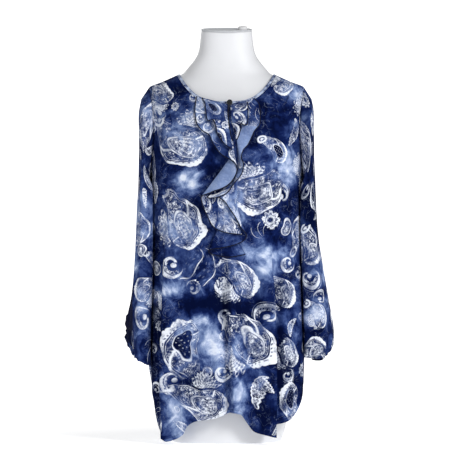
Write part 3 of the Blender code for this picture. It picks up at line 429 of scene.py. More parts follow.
def reverse_crepe(name):
    material, tree, shader, place = new_material(name, 0.74, specular=0.05, sheen=0.005)
    shader.inputs["Sheen Tint"].default_value = (0.65, 0.75, 1.0, 1.0)
    tone, edge = attribute_marks(tree, "cloth")[:2]
    clouds = noise_mark(tree, place, 16.0, 4.0, 0.6, 0.8) + (tone - 0.4)
    show = noise_mark(tree, place, 240.0, 2.0).above(0.62, 0.2) * 0.16
    stops = [(0.25, MID_BLUE), (0.55, REVERSE_BLUE), (0.95, PALE_SKY)]
    ground = colour_ramp(tree, clouds, stops)
    tree.links.new(mix_colours(tree, show, ground, INK_WHITE), shader.inputs["Base Color"])
    crepe_grain(tree, shader, place, edge.near(STITCH_ROW, STITCH_HALF_WIDTH, STITCH_BLUR))
    return material


def grid_quads(rows, columns, closed=False, flip=False):
    """Quads of a grid stored row by row: point numbers, and their row and column numbers."""
    around = columns if closed else columns - 1
    r, c = np.meshgrid(np.arange(rows - 1), np.arange(around), indexing="ij")
    r, c = r.ravel(), c.ravel()
    rr = np.stack([r, r, r + 1, r + 1], 1)
    cc = np.stack([c, c + 1, c + 1, c], 1)
    if flip:
        rr, cc = rr[:, ::-1], cc[:, ::-1]
    return rr * columns + cc % columns, rr, cc


def motif_places(cut, motifs):
    """For every quad, the corners' places in the motif that is nearest for its size."""
    if not len(motifs):
        return np.full((len(cut), 4, 3), 9.0)
    motifs = np.array(motifs, float)
    middle = cut.mean(1)
    away = middle[:, None, :] - motifs[None, :, 1:3]
    nearest = (np.hypot(away[..., 0], away[..., 1]) / np.abs(motifs[:, 4])).argmin(1)
    kind, u, v, turn, size, seed = motifs[nearest].T
    turn = np.radians(turn)
    du, dv = (cut[..., 0] - u[:, None]), (cut[..., 1] - v[:, None])
    cos, sin = np.cos(turn)[:, None], np.sin(turn)[:, None]
    mirrored = np.where(size < 0.0, -1.0, 1.0)[:, None]
    scale = np.abs(size)[:, None]
    x = (du * cos + dv * sin) / scale * mirrored
    y = (dv * cos - du * sin) / scale
    third = np.broadcast_to((kind + 0.05 + 0.9 * seed)[:, None], x.shape)
    return np.stack([x, y, third], -1)


def scatter(count, low, high, kinds, sizes, seed, placed=(), clear=0.9, beyond=0.0):
    """Motifs spread without a pattern over a cut, clear of each other and of those placed."""
    pick = np.random.default_rng(seed)
    found = [tuple(row) for row in placed]
    first = len(found)
    for _ in range(count * 14):
        size = pick.uniform(*sizes)
        u, v = pick.uniform(low[0], high[0]), pick.uniform(low[1], high[1])
        if abs(u) < beyond:
            continue
        if all(math.hypot(u - row[1], v - row[2]) > clear * (size + abs(row[4]))
               for row in found):
            found.append((kinds[pick.integers(len(kinds))], u, v, pick.uniform(0, 360), size,
                          pick.uniform()))
        if len(found) - first >= count:
            break
    return found[first:]


def half_sized(motifs):
    """The same motifs at half their size, for others to be laid close round them."""
    return [(kind, u, v, turn, 0.5 * size, seed) for kind, u, v, turn, size, seed in motifs]


def sew(name, points, quads, cut, tone, edge, large, small, node, materials=None,
        thickness=CLOTH_THICKNESS, offset=-1.0, faces=None):
    """One cut piece: its grid of points made a thin cloth that carries the print's places."""
    mesh = bpy.data.meshes.new(name)
    mesh.from_pydata(points.tolist(), [], quads.tolist())
    mesh.shade_smooth()
    for material in materials or (front_crepe, crepe_back):
        mesh.materials.append(material)
    if faces is not None:
        mesh.polygons.foreach_set("material_index", faces.astype(np.int32))
    uv = mesh.uv_layers.new(name="cut")
    uv.data.foreach_set("uv", cut.reshape(-1).astype(np.float32))
    values = np.stack([tone[quads], edge[quads], cut[..., 0] + cut[..., 1]], -1)
    for label, data in (("cloth", values), ("large_motif", motif_places(cut, large)),
                        ("small_motif", motif_places(cut, small))):
        stored = mesh.attributes.new(label, "FLOAT_VECTOR", "CORNER")
        stored.data.foreach_set("vector", data.reshape(-1).astype(np.float32))
    piece = bpy.data.objects.new(name, mesh)
    bpy.context.scene.collection.objects.link(piece)
    wall = piece.modifiers.new("wall", "SOLIDIFY")
    wall.thickness = thickness
    wall.offset = offset
    wall.use_even_offset = False
    wall.material_offset = 1
    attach(piece, "root")
    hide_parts(node)
    return piece


def grid_normals(grid, closed=False):
    """Outward-or-inward normals of a grid of points, from the steps across and along it."""
    if closed:
        across = np.roll(grid, -1, 1) - np.roll(grid, 1, 1)
    else:
        across = np.gradient(grid, axis=1)
    along = np.gradient(grid, axis=0)
    normal = np.cross(across, along)
    return normal / np.maximum(np.linalg.norm(normal, axis=-1, keepdims=True), 1e-12)


def creased(x, z, creases):
    """Depth at each place of soft ridges and troughs, each a bowed line that fades at its ends."""
    total = np.zeros(np.shape(x))
    for x0, z0, x1, z1, bow, half_width, depth in creases:
        length = math.hypot(x1 - x0, z1 - z0)
        dx, dz = (x1 - x0) / length, (z1 - z0) / length
        along = ((x - x0) * dx + (z - z0) * dz) / length
        inside = np.clip(along, 0.0, 1.0)
        off = (x - x0) * dz - (z - z0) * dx + bow * 4.0 * inside * (1.0 - inside)
        fade = smoothstep(along / 0.22) * smoothstep((1.0 - along) / 0.22)
        total += depth * np.exp(-(off / half_width) ** 2) * fade
    return total


def smoothstep(value):
    value = np.clip(value, 0.0, 1.0)
    return value * value * (3.0 - 2.0 * value)


def patch_tone(x, z, patches, base):
    """The dye's tone and painted shade, from broad soft patches on an even base."""
    tone = np.full(np.shape(x), base)
    for px, pz, rx, rz, amount in patches:
        tone += amount * np.exp(-((x - px) / rx) ** 2 - ((z - pz) / rz) ** 2)
    return tone


front_crepe = printed_crepe("printed_crepe")
crepe_back = reverse_crepe("crepe_reverse")

# ---------------------------------------------------------------- body: front and back
# Two panels of printed crepe, each cut in one with its curved shirt-tail hem, joined at the
# shoulders and side seams. The front is slit at its middle from the neckline. Soft folds fall
# from the bust; the left one, the middle one and the right one are sharp at the hem.
CHEST_HEIGHT = 0.540
NECK_HALF_WIDTH = 0.1034
NECK_POINT_HEIGHT = 0.807
FRONT_NECK_HEIGHT = 0.744
BACK_NECK_HEIGHT = 0.794
BINDING_HEIGHT = 0.0060
BINDING_WALL = 0.0018
BINDING_GAP = 0.0005
SHOULDER_HALF_WIDTH = 0.1705
SHOULDER_HEIGHT = 0.777
ARMHOLE_HEIGHT = 0.202
ARMHOLE_HALF_DEPTH = 0.050
SEAM_GAP = 0.0003
SLIT_ANGLE = 1.6
SLIT_END_HEIGHT = 0.625
SLIT_HALF_WIDTH = 0.0005
NECK_ANGLE = 40.0
SHOULDER_ANGLE = 54.0
SQUARENESS = 2.4
HALF_WIDTH, FRONT_DEPTH, BACK_DEPTH = 1, 2, 3
# height, half width, front depth, back depth
BODY_SECTIONS = np.array([
    (0.000, 0.1680, 0.1360, 0.1400), (0.170, 0.1710, 0.1370, 0.1420),
    (0.400, 0.1680, 0.1250, 0.1220), (0.540, 0.1672, 0.1260, 0.1180),
    (0.620, 0.1680, 0.1220, 0.1200), (0.700, 0.1700, 0.1080, 0.1160),
    (0.745, 0.1725, 0.0900, 0.1060), (0.777, 0.1705, 0.0730, 0.0900),
    (0.790, 0.1414, 0.0670, 0.0800), (0.807, 0.1034, 0.0600, 0.0640),
])
# angle round the body from the front middle, height of the hem
HEM = np.array([
    (-180, 0.066), (-162, 0.060), (-146, 0.050), (-132, 0.054), (-121, 0.076), (-108, 0.120),
    (-90, 0.168), (-80, 0.136), (-75, 0.116), (-70, 0.096), (-67, 0.056), (-63, 0.026),
    (-58, 0.013), (-54, 0.012), (-50, 0.006), (-44, 0.011), (-38, 0.023), (-35, 0.040),
    (-29, 0.050), (-10, 0.058), (4, 0.070), (12, 0.067), (18, 0.049), (25, 0.029), (32, 0.022),
    (40, 0.016), (43, 0.040), (50, 0.046), (57, 0.053), (63, 0.068), (70, 0.100), (78, 0.142),
    (90, 0.168), (108, 0.120), (121, 0.076), (132, 0.054), (146, 0.050), (162, 0.060),
    (180, 0.066),
])
# angle, wander, half width, depth, steep side, top, fade
BODY_FOLDS = [
    (-54.0, 0.0, 17.0, 0.0125, -1, 0.520, 0.16), (-30.0, 3.0, 12.0, -0.0055, 0, 0.440, 0.22),
    (7.0, -5.0, 13.0, 0.0145, -1, 0.420, 0.10), (25.0, 4.0, 9.0, -0.0040, 0, 0.400, 0.20),
    (39.5, 0.0, 14.0, 0.0160, 1, 0.470, 0.16), (68.0, 0.0, 9.0, 0.0050, 0, 0.520, 0.25),
    (-79.0, 0.0, 8.0, -0.0040, 0, 0.520, 0.25), (112.0, 0.0, 13.0, 0.0080, 0, 0.560, 0.25),
    (134.0, 2.0, 11.0, -0.0070, 0, 0.600, 0.25), (155.0, 4.0, 12.0, 0.0090, 0, 0.600, 0.28),
    (176.0, 0.0, 9.0, -0.0060, 0, 0.560, 0.25), (-163.0, -4.0, 11.0, 0.0080, 0, 0.600, 0.28),
    (-141.0, -2.0, 11.0, -0.0070, 0, 0.600, 0.25), (-117.0, 0.0, 13.0, 0.0085, 0, 0.560, 0.25),
]
# Small creases on the cut: x and height where each starts and ends, bow, half width, depth
FRONT_CREASES = [
    (-0.115, 0.745, -0.060, 0.655, 0.008, 0.012, 0.0022),
    (-0.140, 0.720, -0.110, 0.590, -0.010, 0.013, 0.0024),
    (0.130, 0.735, 0.085, 0.640, -0.008, 0.013, 0.0022),
    (0.140, 0.690, 0.118, 0.560, 0.006, 0.012, 0.0026),
    (0.118, 0.600, 0.106, 0.430, 0.004, 0.010, 0.0032),
    (-0.100, 0.560, -0.092, 0.400, 0.004, 0.012, -0.0024),
    (-0.045, 0.480, -0.055, 0.300, 0.003, 0.014, 0.0022),
    (0.045, 0.450, 0.058, 0.270, 0.004, 0.012, -0.0026),
    (0.080, 0.380, 0.088, 0.180, -0.003, 0.010, 0.0024),
    (-0.025, 0.270, -0.020, 0.100, 0.003, 0.012, 0.0024),
    (-0.100, 0.250, -0.105, 0.070, -0.004, 0.013, -0.0022),
    (0.125, 0.380, 0.130, 0.180, 0.003, 0.010, 0.0026),
    (-0.070, 0.350, -0.078, 0.160, 0.006, 0.010, 0.0018),
    (0.030, 0.220, 0.042, 0.090, 0.003, 0.009, 0.0022),
]
BACK_CREASES = [
    (-0.110, 0.740, -0.050, 0.620, 0.010, 0.014, 0.0026),
    (0.105, 0.745, 0.055, 0.610, -0.010, 0.014, 0.0026),
    (-0.060, 0.600, -0.075, 0.380, 0.006, 0.015, 0.0030),
    (0.070, 0.590, 0.080, 0.360, -0.006, 0.015, 0.0030),
    (0.005, 0.560, 0.000, 0.330, 0.004, 0.014, -0.0026),
    (-0.115, 0.420, -0.120, 0.180, 0.004, 0.012, 0.0026),
    (0.118, 0.400, 0.120, 0.170, -0.004, 0.012, 0.0024),
    (0.035, 0.320, 0.040, 0.120, 0.003, 0.012, 0.0024),
    (-0.035, 0.330, -0.040, 0.130, -0.003, 0.012, 0.0022),
]


def smooth_table(rows, column, at):
    """Smooth value of one column of a table, between the rows whose keys are round `at`."""
    keys, values = rows[:, 0], rows[:, column]
    slopes = np.diff(values) / np.diff(keys)
    product = slopes[:-1] * slopes[1:]
    joined = np.where(product > 0.0, slopes[:-1] + slopes[1:], 1.0)
    inner = np.where(product > 0.0, 2.0 * product / joined, 0.0)
    tangents = np.concatenate(([slopes[0]], inner, [slopes[-1]]))
    at = np.clip(at, keys[0], keys[-1])
    i = np.clip(np.searchsorted(keys, at) - 1, 0, len(keys) - 2)
    span = keys[i + 1] - keys[i]
    u = (at - keys[i]) / span
    ease = u * u * (3.0 - 2.0 * u)
    return ((1.0 - ease) * values[i] + ease * values[i + 1]
            + u * (1.0 - u) * span * ((1.0 - u) * tangents[i] - u * tangents[i + 1]))


def fold_push(angle, height):
    total = np.zeros(np.broadcast(angle, height).shape)
    for middle, wander, half_width, depth, steep_side, top, fade in BODY_FOLDS:
        grown = smoothstep((top - height) / fade)
        off = (angle - middle - wander * np.minimum(height / top, 1.0) + 180.0) % 360.0 - 180.0
        off = np.clip(off / half_width, -1.0, 1.0)
        if steep_side == 0:
            shape = 0.5 + 0.5 * np.cos(np.pi * off)
        else:
            off = off * steep_side
            steep = np.where(off < 0.30, 1.0 - 1.75 * smoothstep(off / 0.30),
                             -0.75 * (1.0 - smoothstep((off - 0.30) / 0.70)))
            shape = np.where(off < 0.0, smoothstep(1.0 + off), steep)
        total = total + depth * grown * shape
    return total


def body_surface(angle, height, folded=True):
    """Points of the garment's outer surface at angles round the body and heights."""
    turn = np.radians(angle)
    half_width = smooth_table(BODY_SECTIONS, HALF_WIDTH, height)
    half_depth = np.where(np.cos(turn) >= 0.0, smooth_table(BODY_SECTIONS, FRONT_DEPTH, height),
                          smooth_table(BODY_SECTIONS, BACK_DEPTH, height))
    radius = ((np.abs(np.sin(turn)) / half_width) ** SQUARENESS
              + (np.abs(np.cos(turn)) / half_depth) ** SQUARENESS) ** (-1.0 / SQUARENESS)
    if folded:
        radius = radius + fold_push(angle, height)
    height = np.broadcast_to(height, radius.shape)
    return np.stack([radius * np.sin(turn), -radius * np.cos(turn), height], -1)


def depth_at(offset_x, height, column):
    half_width = smooth_table(BODY_SECTIONS, HALF_WIDTH, height)
    share = np.minimum(np.abs(offset_x) / half_width, 1.0) ** SQUARENESS
    return smooth_table(BODY_SECTIONS, column, height) * (1.0 - share) ** (1.0 / SQUARENESS)


def armhole(side, turn):
    """Armhole seam: turn is 90 degrees at the shoulder tip, 0 at its front, 180 at its back."""
    turn = np.radians(turn)
    height = SHOULDER_HEIGHT - 0.5 * ARMHOLE_HEIGHT * (1.0 - np.sin(turn))
    offset_y = -ARMHOLE_HALF_DEPTH * np.cos(turn)
    half_width = smooth_table(BODY_SECTIONS, HALF_WIDTH, height)
    half_depth = np.where(offset_y <= 0.0, smooth_table(BODY_SECTIONS, FRONT_DEPTH, height),
                          smooth_table(BODY_SECTIONS, BACK_DEPTH, height))
    share = np.minimum(np.abs(offset_y) / half_depth, 1.0) ** SQUARENESS
    offset_x = half_width * (1.0 - share) ** (1.0 / SQUARENESS)
    return np.stack([side * offset_x, offset_y, height], -1)


def neckline(angle, back, outside=0.0):
    """Finished neckline by panel angle, or a line that far outside it on the body's surface."""
    across = np.sin(0.5 * np.pi * np.minimum(np.abs(angle), NECK_ANGLE) / NECK_ANGLE)
    slope = (NECK_POINT_HEIGHT - SHOULDER_HEIGHT) / (SHOULDER_HALF_WIDTH - NECK_HALF_WIDTH)
    step_out = outside / math.hypot(1.0, slope)
    offset_x = (NECK_HALF_WIDTH + step_out) * across
    low = (BACK_NECK_HEIGHT if back else FRONT_NECK_HEIGHT) - outside
    high = NECK_POINT_HEIGHT - step_out * slope
    height = low + (high - low) * across ** (2.2 if back else 3.1)
    depth = depth_at(offset_x, height, BACK_DEPTH if back else FRONT_DEPTH)
    side = np.where(angle >= 0.0, 1.0, -1.0)
    return np.stack([side * offset_x, depth if back else -depth, height], -1)


def panel_top(angle, back):
    """Where a panel's columns end: on the neckline, the shoulder seams or the armholes."""
    spread = np.abs(angle)
    side = np.where(angle >= 0.0, 1.0, -1.0)
    outside = BINDING_HEIGHT + BINDING_GAP
    on_neck = neckline(angle, back, outside)
    along = ((spread - NECK_ANGLE) / (SHOULDER_ANGLE - NECK_ANGLE))[:, None]
    tip = np.stack([side * SHOULDER_HALF_WIDTH, 0.0 * side, 0.0 * side + SHOULDER_HEIGHT], -1)
    neck_end = neckline(side * NECK_ANGLE, back, outside)
    on_shoulder = neck_end + (tip - neck_end) * along
    turn = 90.0 - 180.0 * (spread - SHOULDER_ANGLE) / (90.0 - SHOULDER_ANGLE)
    on_armhole = armhole(side, 180.0 - turn if back else turn)
    spread = spread[:, None]
    return np.where(spread <= NECK_ANGLE, on_neck,
                    np.where(spread <= SHOULDER_ANGLE, on_shoulder, on_armhole))


def panel_grid(angles, rises, back):
    """Points of a panel: rises are 0 to 1 from the hem to the chest, 1 to 2 up to its top."""
    round_angle = 180.0 - angles if back else angles
    hem = smooth_table(HEM, 1, (round_angle + 180.0) % 360.0 - 180.0)
    lower = np.minimum(rises, 1.0)[:, None]
    upper = np.clip(rises - 1.0, 0.0, 1.0)[:, None]
    top = panel_top(angles, back)
    top_angle = np.degrees(np.arctan2(top[:, 0], top[:, 1] if back else -top[:, 1]))
    spread = np.abs(angles)
    over_shoulder = smoothstep((spread - 0.6 * NECK_ANGLE) / (SHOULDER_ANGLE - 0.6 * NECK_ANGLE))
    bend = over_shoulder * (1.0 - smoothstep(0.5 + (spread - 0.5 * (SHOULDER_ANGLE + 90.0)) / 14.0))
    height = hem + (CHEST_HEIGHT - hem) * lower
    climb = 1.0 - (1.0 - upper) ** (1.0 + 0.7 * bend)
    height = height + (top[:, 2] - CHEST_HEIGHT) * climb
    angle = angles + (top_angle - angles) * upper ** (1.4 + 0.8 * bend)
    grid = body_surface(180.0 - angle if back else angle, height)
    grid[-1] = top
    return grid


def cut_places(grid, back):
    """Flat place of each point of a panel: the way round the body from its middle, and height."""
    facing = grid[..., 1] if back else -grid[..., 1]
    angle = np.degrees(np.arctan2(grid[..., 0], facing))
    across = np.zeros(angle.shape)
    before = None
    for share in np.linspace(0.0, 1.0, 19):
        at = 180.0 - angle * share if back else angle * share
        point = body_surface(at, grid[..., 2], folded=False)
        if before is not None:
            across += np.linalg.norm(point - before, axis=-1)
        before = point
    return np.stack([across * np.sign(angle), grid[..., 2]], -1)


def lay_motifs(rows, grid, cut):
    """Turn places seen from the front (cm) into places on the cut."""
    flat, flat_cut = grid.reshape(-1, 3), cut.reshape(-1, 2)
    laid = []
    for kind, x, z, turn, size, seed in rows:
        x, z, size = 0.01 * x, 0.01 * z, 0.01 * size
        nearest = np.hypot(flat[:, 0] - x, flat[:, 2] - z).argmin()
        u = flat_cut[nearest, 0] + (x - flat[nearest, 0])
        laid.append((kind, u, z, turn, size, seed))
    return laid


def panel_angles():
    """Column angles about 3 mm apart, with columns at the ends of neckline and shoulder."""
    right = np.concatenate([np.linspace(0.0, NECK_ANGLE, 37),
                            np.linspace(NECK_ANGLE, SHOULDER_ANGLE, 15)[1:],
                            np.linspace(SHOULDER_ANGLE, 90.0, 33)[1:]])
    return np.concatenate([-right[:0:-1], right])


def ripple(u, v, seed):
    """Slight waviness of hanging crepe, stronger towards the hem."""
    down = smoothstep((0.62 - v) / 0.5)
    wave = (np.sin(u * 88.0 + seed + 1.3 * np.sin(v * 9.0 + seed))
            + 0.6 * np.sin(u * 147.0 - 2.0 * seed + 1.7 * np.sin(v * 13.0)))
    return 0.0009 * wave * down


PLACED_WITHIN = 0.168       # nearer the middle than this, the front's motifs are placed one by one
CUT_HALF_WIDTH, CUT_LENGTH = 0.27, 0.80
CREASE_STRENGTH = 1.5
CALM_SEAM_ANGLE = 86.0      # creases fade out towards the side seams
# kind, x and z of its middle in cm seen from the front, turn, size in cm, variety;
# a size below zero mirrors the motif
FRONT_LARGE = [
    (PAISLEY, -8.2, 63.8, 86, -9.8, 0.90), (PAISLEY, -8.8, 46.2, -6, 9.6, 0.36),
    (PAISLEY, 5.6, 53.6, -84, 9.4, 0.92), (PAISLEY, 4.2, 34.6, 14, 7.4, 0.66),
    (PAISLEY, -9.6, 23.0, 160, 10.0, 0.10), (PAISLEY, 6.0, 20.4, 10, 9.8, 0.46),
    (PAISLEY, -3.4, 9.0, 108, -9.0, 0.77), (PAISLEY, 13.8, 10.6, 165, 6.8, 0.06),
    (PAISLEY, -14.0, 76.6, 62, 5.8, 0.42), (PAISLEY, 13.4, 31.6, 5, 5.8, 0.70),
    (PAISLEY, 12.4, 77.4, -60, 4.4, 0.40), (PAISLEY, -16.0, 31.0, 170, 5.2, 0.70),
    (PAISLEY, 11.6, 63.0, 14, 4.8, 0.12), (PAISLEY, 14.0, 19.0, 8, 5.4, 0.50),
]
FRONT_SMALL = [
    (CURL, -15.0, 71.6, 0, 2.5, 0.35), (ROSETTE, -11.2, 73.2, 0, 1.1, 0.2),
    (CURL, -7.2, 75.4, 90, 1.2, 0.7), (CURL, 11.6, 79.0, 40, 1.6, 0.10),
    (LEAF, 14.8, 67.6, -14, 3.4, 0.5), (DROP, -13.4, 67.6, 200, 1.3, 0.3),
    (CURL, 12.0, 54.4, 230, 2.3, 0.60), (ROSETTE, 9.4, 48.6, 0, 2.3, 0.4),
    (SPRAY, 7.4, 46.4, 30, 2.4, 0.3), (DROP, 12.9, 46.6, -50, 2.8, 0.9),
    (CURL, -12.0, 38.2, 0, 2.8, 0.15), (SPRAY, -5.0, 38.8, 190, 6.0, 0.5),
    (CURL, -7.0, 34.4, 180, 1.9, 0.85), (CURL, -16.4, 39.4, 60, 1.8, 0.30),
    (CURL, -0.8, 34.6, 20, 2.2, 0.45), (CURL, -15.8, 31.6, 100, 1.8, 0.75),
    (LEAF, -15.6, 55.4, 20, 3.4, 0.2), (CURL, 0.2, 27.4, 30, 2.3, 0.25),
    (CURL, 8.4, 28.4, 230, 2.6, 0.55), (CURL, -0.6, 23.6, 20, 1.2, 0.95),
    (CURL, -11.9, 13.2, 0, 2.7, 0.05), (LEAF, -6.2, 16.6, -30, 1.6, 0.6),
    (CURL, -4.2, 15.9, 240, 1.4, 0.65), (CURL, -0.8, 15.2, 30, 2.0, 0.35),
    (LEAF, 6.4, 11.6, 172, 3.8, 0.3), (LEAF, 8.6, 12.4, 205, 2.2, 0.7),
    (DROP, -10.4, 7.6, 0, 1.0, 0.1), (LEAF, 14.0, 25.6, 160, 2.4, 0.8),
    (CURL, 13.6, 14.8, 90, 1.6, 0.5), (CURL, 13.4, 38.8, 0, 2.0, 0.2),
    (LEAF, -9.4, 4.2, 40, 2.2, 0.9), (DROP, -16.0, 46.2, 5, 2.4, 0.1),
    (LEAF, 16.2, 55.8, 5, 3.0, 0.4), (LEAF, 11.2, 3.6, -30, 2.0, 0.4),
]
# x, z, half spans and amount of patches seen from the front: the dye's, and painted shade by folds
FRONT_PATCHES = [
    (-0.086, 0.775, 0.030, 0.020, -0.32), (0.120, 0.690, 0.055, 0.045, -0.36),
    (-0.158, 0.455, 0.025, 0.040, -0.36), (-0.080, 0.302, 0.090, 0.020, -0.30),
    (0.080, 0.060, 0.035, 0.060, -0.34), (0.150, 0.758, 0.045, 0.022, 0.46),
    (-0.094, 0.578, 0.014, 0.012, 0.55), (-0.070, 0.560, 0.018, 0.013, 0.62),
    (-0.084, 0.545, 0.020, 0.010, 0.30), (-0.066, 0.586, 0.012, 0.008, 0.40),
    (0.138, 0.590, 0.022, 0.045, 0.46),
    (0.088, 0.380, 0.024, 0.018, 0.46), (0.088, 0.415, 0.034, 0.016, 0.30),
    (-0.024, 0.200, 0.022, 0.050, 0.32), (-0.116, 0.062, 0.030, 0.055, 0.42),
    (-0.140, 0.485, 0.050, 0.014, 0.34), (-0.125, 0.332, 0.050, 0.015, 0.30),
    (0.000, 0.150, 0.022, 0.050, 0.20), (0.045, 0.300, 0.070, 0.016, -0.34),
    (-0.115, 0.610, 0.030, 0.030, -0.10), (0.080, 0.465, 0.040, 0.014, -0.28),
    # painted shade: the first patch on the next line darkens the shadowed side strip of the left
    # fold
    (-0.158, 0.230, 0.012, 0.180, -0.34), (0.026, 0.080, 0.016, 0.045, 0.24),
    # painted shade: both patches on the next line darken the shadowed sides of the right and middle
    # folds
    (0.118, 0.190, 0.008, 0.170, -0.34), (0.006, 0.140, 0.007, 0.110, -0.22),
    (0.060, 0.620, 0.030, 0.030, -0.16), (-0.150, 0.690, 0.030, 0.030, -0.12),
    (-0.055, 0.270, 0.030, 0.012, 0.18),
]
BACK_PATCHES = [(0.05, 0.55, 0.10, 0.08, 0.15)]

angles = panel_angles()
rises = np.concatenate([np.linspace(0.0, 1.0, 111), np.linspace(1.0, 2.0, 61)[1:]])


def body_panel(name, back, creases, motifs_large, motifs_small, patches):
    """The front or the back: its grid of points creased, the front also slit, and printed."""
    grid = panel_grid(angles, rises, back)
    cut = cut_places(grid, back)
    normal = grid_normals(grid) * (-1.0 if back else 1.0)
    calm = (smoothstep((CALM_SEAM_ANGLE - np.abs(angles)) / 14.0)[None, :]
            * smoothstep((2.0 - rises) / 0.15)[:, None])
    u, v = cut[..., 0], cut[..., 1]
    push = CREASE_STRENGTH * creased(u, v, creases) + ripple(u, v, 2.0 + back)
    if not back:
        behind_flounces = (np.exp(-(grid[..., 0] / 0.055) ** 4)
                           * smoothstep((grid[..., 2] - 0.40) / 0.03))
        calm = calm * (1.0 - behind_flounces)
    grid = grid + normal * (push * calm)[..., None]
    grid[..., 1] += 0.5 * SEAM_GAP * (1.0 if back else -1.0)
    rows, columns = grid.shape[:2]
    quads, _, cc = grid_quads(rows, columns, flip=back)
    points = grid.reshape(-1, 3)
    number = np.arange(len(points))
    if not back:
        slit = int(np.abs(angles - SLIT_ANGLE).argmin())
        above = [r * columns + slit for r in range(rows) if grid[r, slit, 2] > SLIT_END_HEIGHT]
        twin = {old: len(points) + k for k, old in enumerate(above)}
        points = np.concatenate([points, points[above] + (SLIT_HALF_WIDTH, 0.0, 0.0)])
        points[above] -= (SLIT_HALF_WIDTH, 0.0, 0.0)
        number = np.concatenate([number, above])
        for row in np.nonzero(cc.max(1) > slit)[0]:
            quads[row] = [twin.get(k, k) for k in quads[row]]
    flat_cut = cut.reshape(-1, 2)[number]
    large = lay_motifs(motifs_large, grid, cut)
    beyond = 0.0 if back else PLACED_WITHIN
    low, high = (-CUT_HALF_WIDTH, 0.0), (CUT_HALF_WIDTH, CUT_LENGTH)
    large += scatter(40, low, high, [PAISLEY], (0.055, 0.095), 11 + back, large, 0.82, beyond)
    small = lay_motifs(motifs_small, grid, cut)
    small += scatter(110, low, high, [CURL, CURL, LEAF, ROSETTE, DROP, SPRAY], (0.012, 0.024),
                     21 + back, small + half_sized(large), 1.0, beyond)
    edge = (grid[..., 2] - grid[0, :, 2]).reshape(-1)[number]
    tone = patch_tone(points[:, 0], points[:, 2], patches, EVEN_TONE)
    return sew(name, points, quads, flat_cut[quads], tone, edge, large, small,
               "back" if back else "front")


front_piece = body_panel("front_panel", False, FRONT_CREASES, FRONT_LARGE, FRONT_SMALL,
                         FRONT_PATCHES)
back_piece = body_panel("back_panel", True, BACK_CREASES, [], [], BACK_PATCHES)

# ---------------------------------------------------------------- sleeves
# Full sleeves, each cut in one piece with one seam under the arm, set smoothly into the
# armhole and gathered at the wrist. They hang empty beside the body, flat from side to side.
# outer, outer z, inner, inner z, half depth, middle y, slant, dent, droop, gather
SLEEVE_LEFT = np.array([
    (0.1880, 0.752, 0.1700, 0.563, 0.0750, 0.000, 0.000, 0.000, 0.000, 0.0000),
    (0.1925, 0.722, 0.1722, 0.549, 0.0790, 0.002, 0.000, 0.000, 0.000, 0.0000),
    (0.1932, 0.680, 0.1722, 0.536, 0.0820, 0.004, 0.000, 0.001, 0.000, 0.0000),
    (0.1938, 0.630, 0.1722, 0.520, 0.0840, 0.006, 0.000, 0.002, 0.000, 0.0000),
    (0.1958, 0.575, 0.1724, 0.502, 0.0850, 0.008, 0.001, 0.003, 0.000, 0.0000),
    (0.1990, 0.515, 0.1726, 0.470, 0.0855, 0.010, 0.002, 0.004, 0.000, 0.0004),
    (0.2035, 0.450, 0.1730, 0.425, 0.0860, 0.012, 0.003, 0.006, 0.000, 0.0006),
    (0.2100, 0.375, 0.1745, 0.362, 0.0880, 0.014, 0.005, 0.009, 0.000, 0.0008),
    (0.2165, 0.310, 0.1765, 0.297, 0.0900, 0.016, 0.007, 0.012, 0.004, 0.0012),
    (0.2205, 0.268, 0.1775, 0.240, 0.0910, 0.016, 0.011, 0.014, 0.022, 0.0018),
    (0.2240, 0.249, 0.1775, 0.203, 0.0890, 0.016, 0.013, 0.012, 0.046, 0.0024),
    (0.2250, 0.242, 0.1840, 0.200, 0.0750, 0.019, 0.010, 0.006, 0.034, 0.0022),
    (0.2215, 0.2355, 0.1985, 0.2145, 0.0560, 0.025, 0.003, 0.000, 0.010, 0.0004),
])
SLEEVE_RIGHT = np.array([
    (0.1865, 0.752, 0.1700, 0.563, 0.0750, 0.000, 0.000, 0.000, 0.000, 0.0000),
    (0.1915, 0.722, 0.1722, 0.549, 0.0790, 0.002, 0.000, 0.000, 0.000, 0.0000),
    (0.1920, 0.680, 0.1722, 0.536, 0.0820, 0.004, 0.000, 0.000, 0.000, 0.0000),
    (0.1925, 0.630, 0.1722, 0.520, 0.0840, 0.006, 0.000, 0.001, 0.000, 0.0000),
    (0.1942, 0.575, 0.1722, 0.502, 0.0850, 0.008, 0.000, 0.002, 0.000, 0.0000),
    (0.1975, 0.515, 0.1724, 0.470, 0.0855, 0.010, 0.000, 0.002, 0.000, 0.0004),
    (0.2035, 0.450, 0.1726, 0.425, 0.0860, 0.012, 0.000, 0.003, 0.000, 0.0006),
    (0.2135, 0.375, 0.1730, 0.365, 0.0880, 0.014, 0.000, 0.003, 0.000, 0.0008),
    (0.2255, 0.305, 0.1735, 0.300, 0.0900, 0.016, 0.000, 0.003, 0.000, 0.0012),
    (0.2340, 0.255, 0.1740, 0.250, 0.0910, 0.016, 0.000, 0.002, 0.004, 0.0018),
    (0.2362, 0.228, 0.1740, 0.223, 0.0890, 0.016, 0.000, 0.001, 0.014, 0.0026),
    (0.2310, 0.212, 0.1765, 0.208, 0.0760, 0.014, 0.000, 0.000, 0.026, 0.0030),
    (0.2130, 0.199, 0.1860, 0.198, 0.0560, 0.012, 0.000, 0.000, 0.000, 0.0004),
])
SLEEVE_GATHERS = 8
SLEEVE_COLUMNS = 84
SLEEVE_STEP = 0.125         # of the way from one row of the table to the next
SEEN_COLUMNS = slice(7, 35)  # those that face forwards, where motifs are placed one by one
SLEEVE_CUT_LOW, SLEEVE_CUT_HIGH = (-0.14, 0.14), (0.34, 0.76)
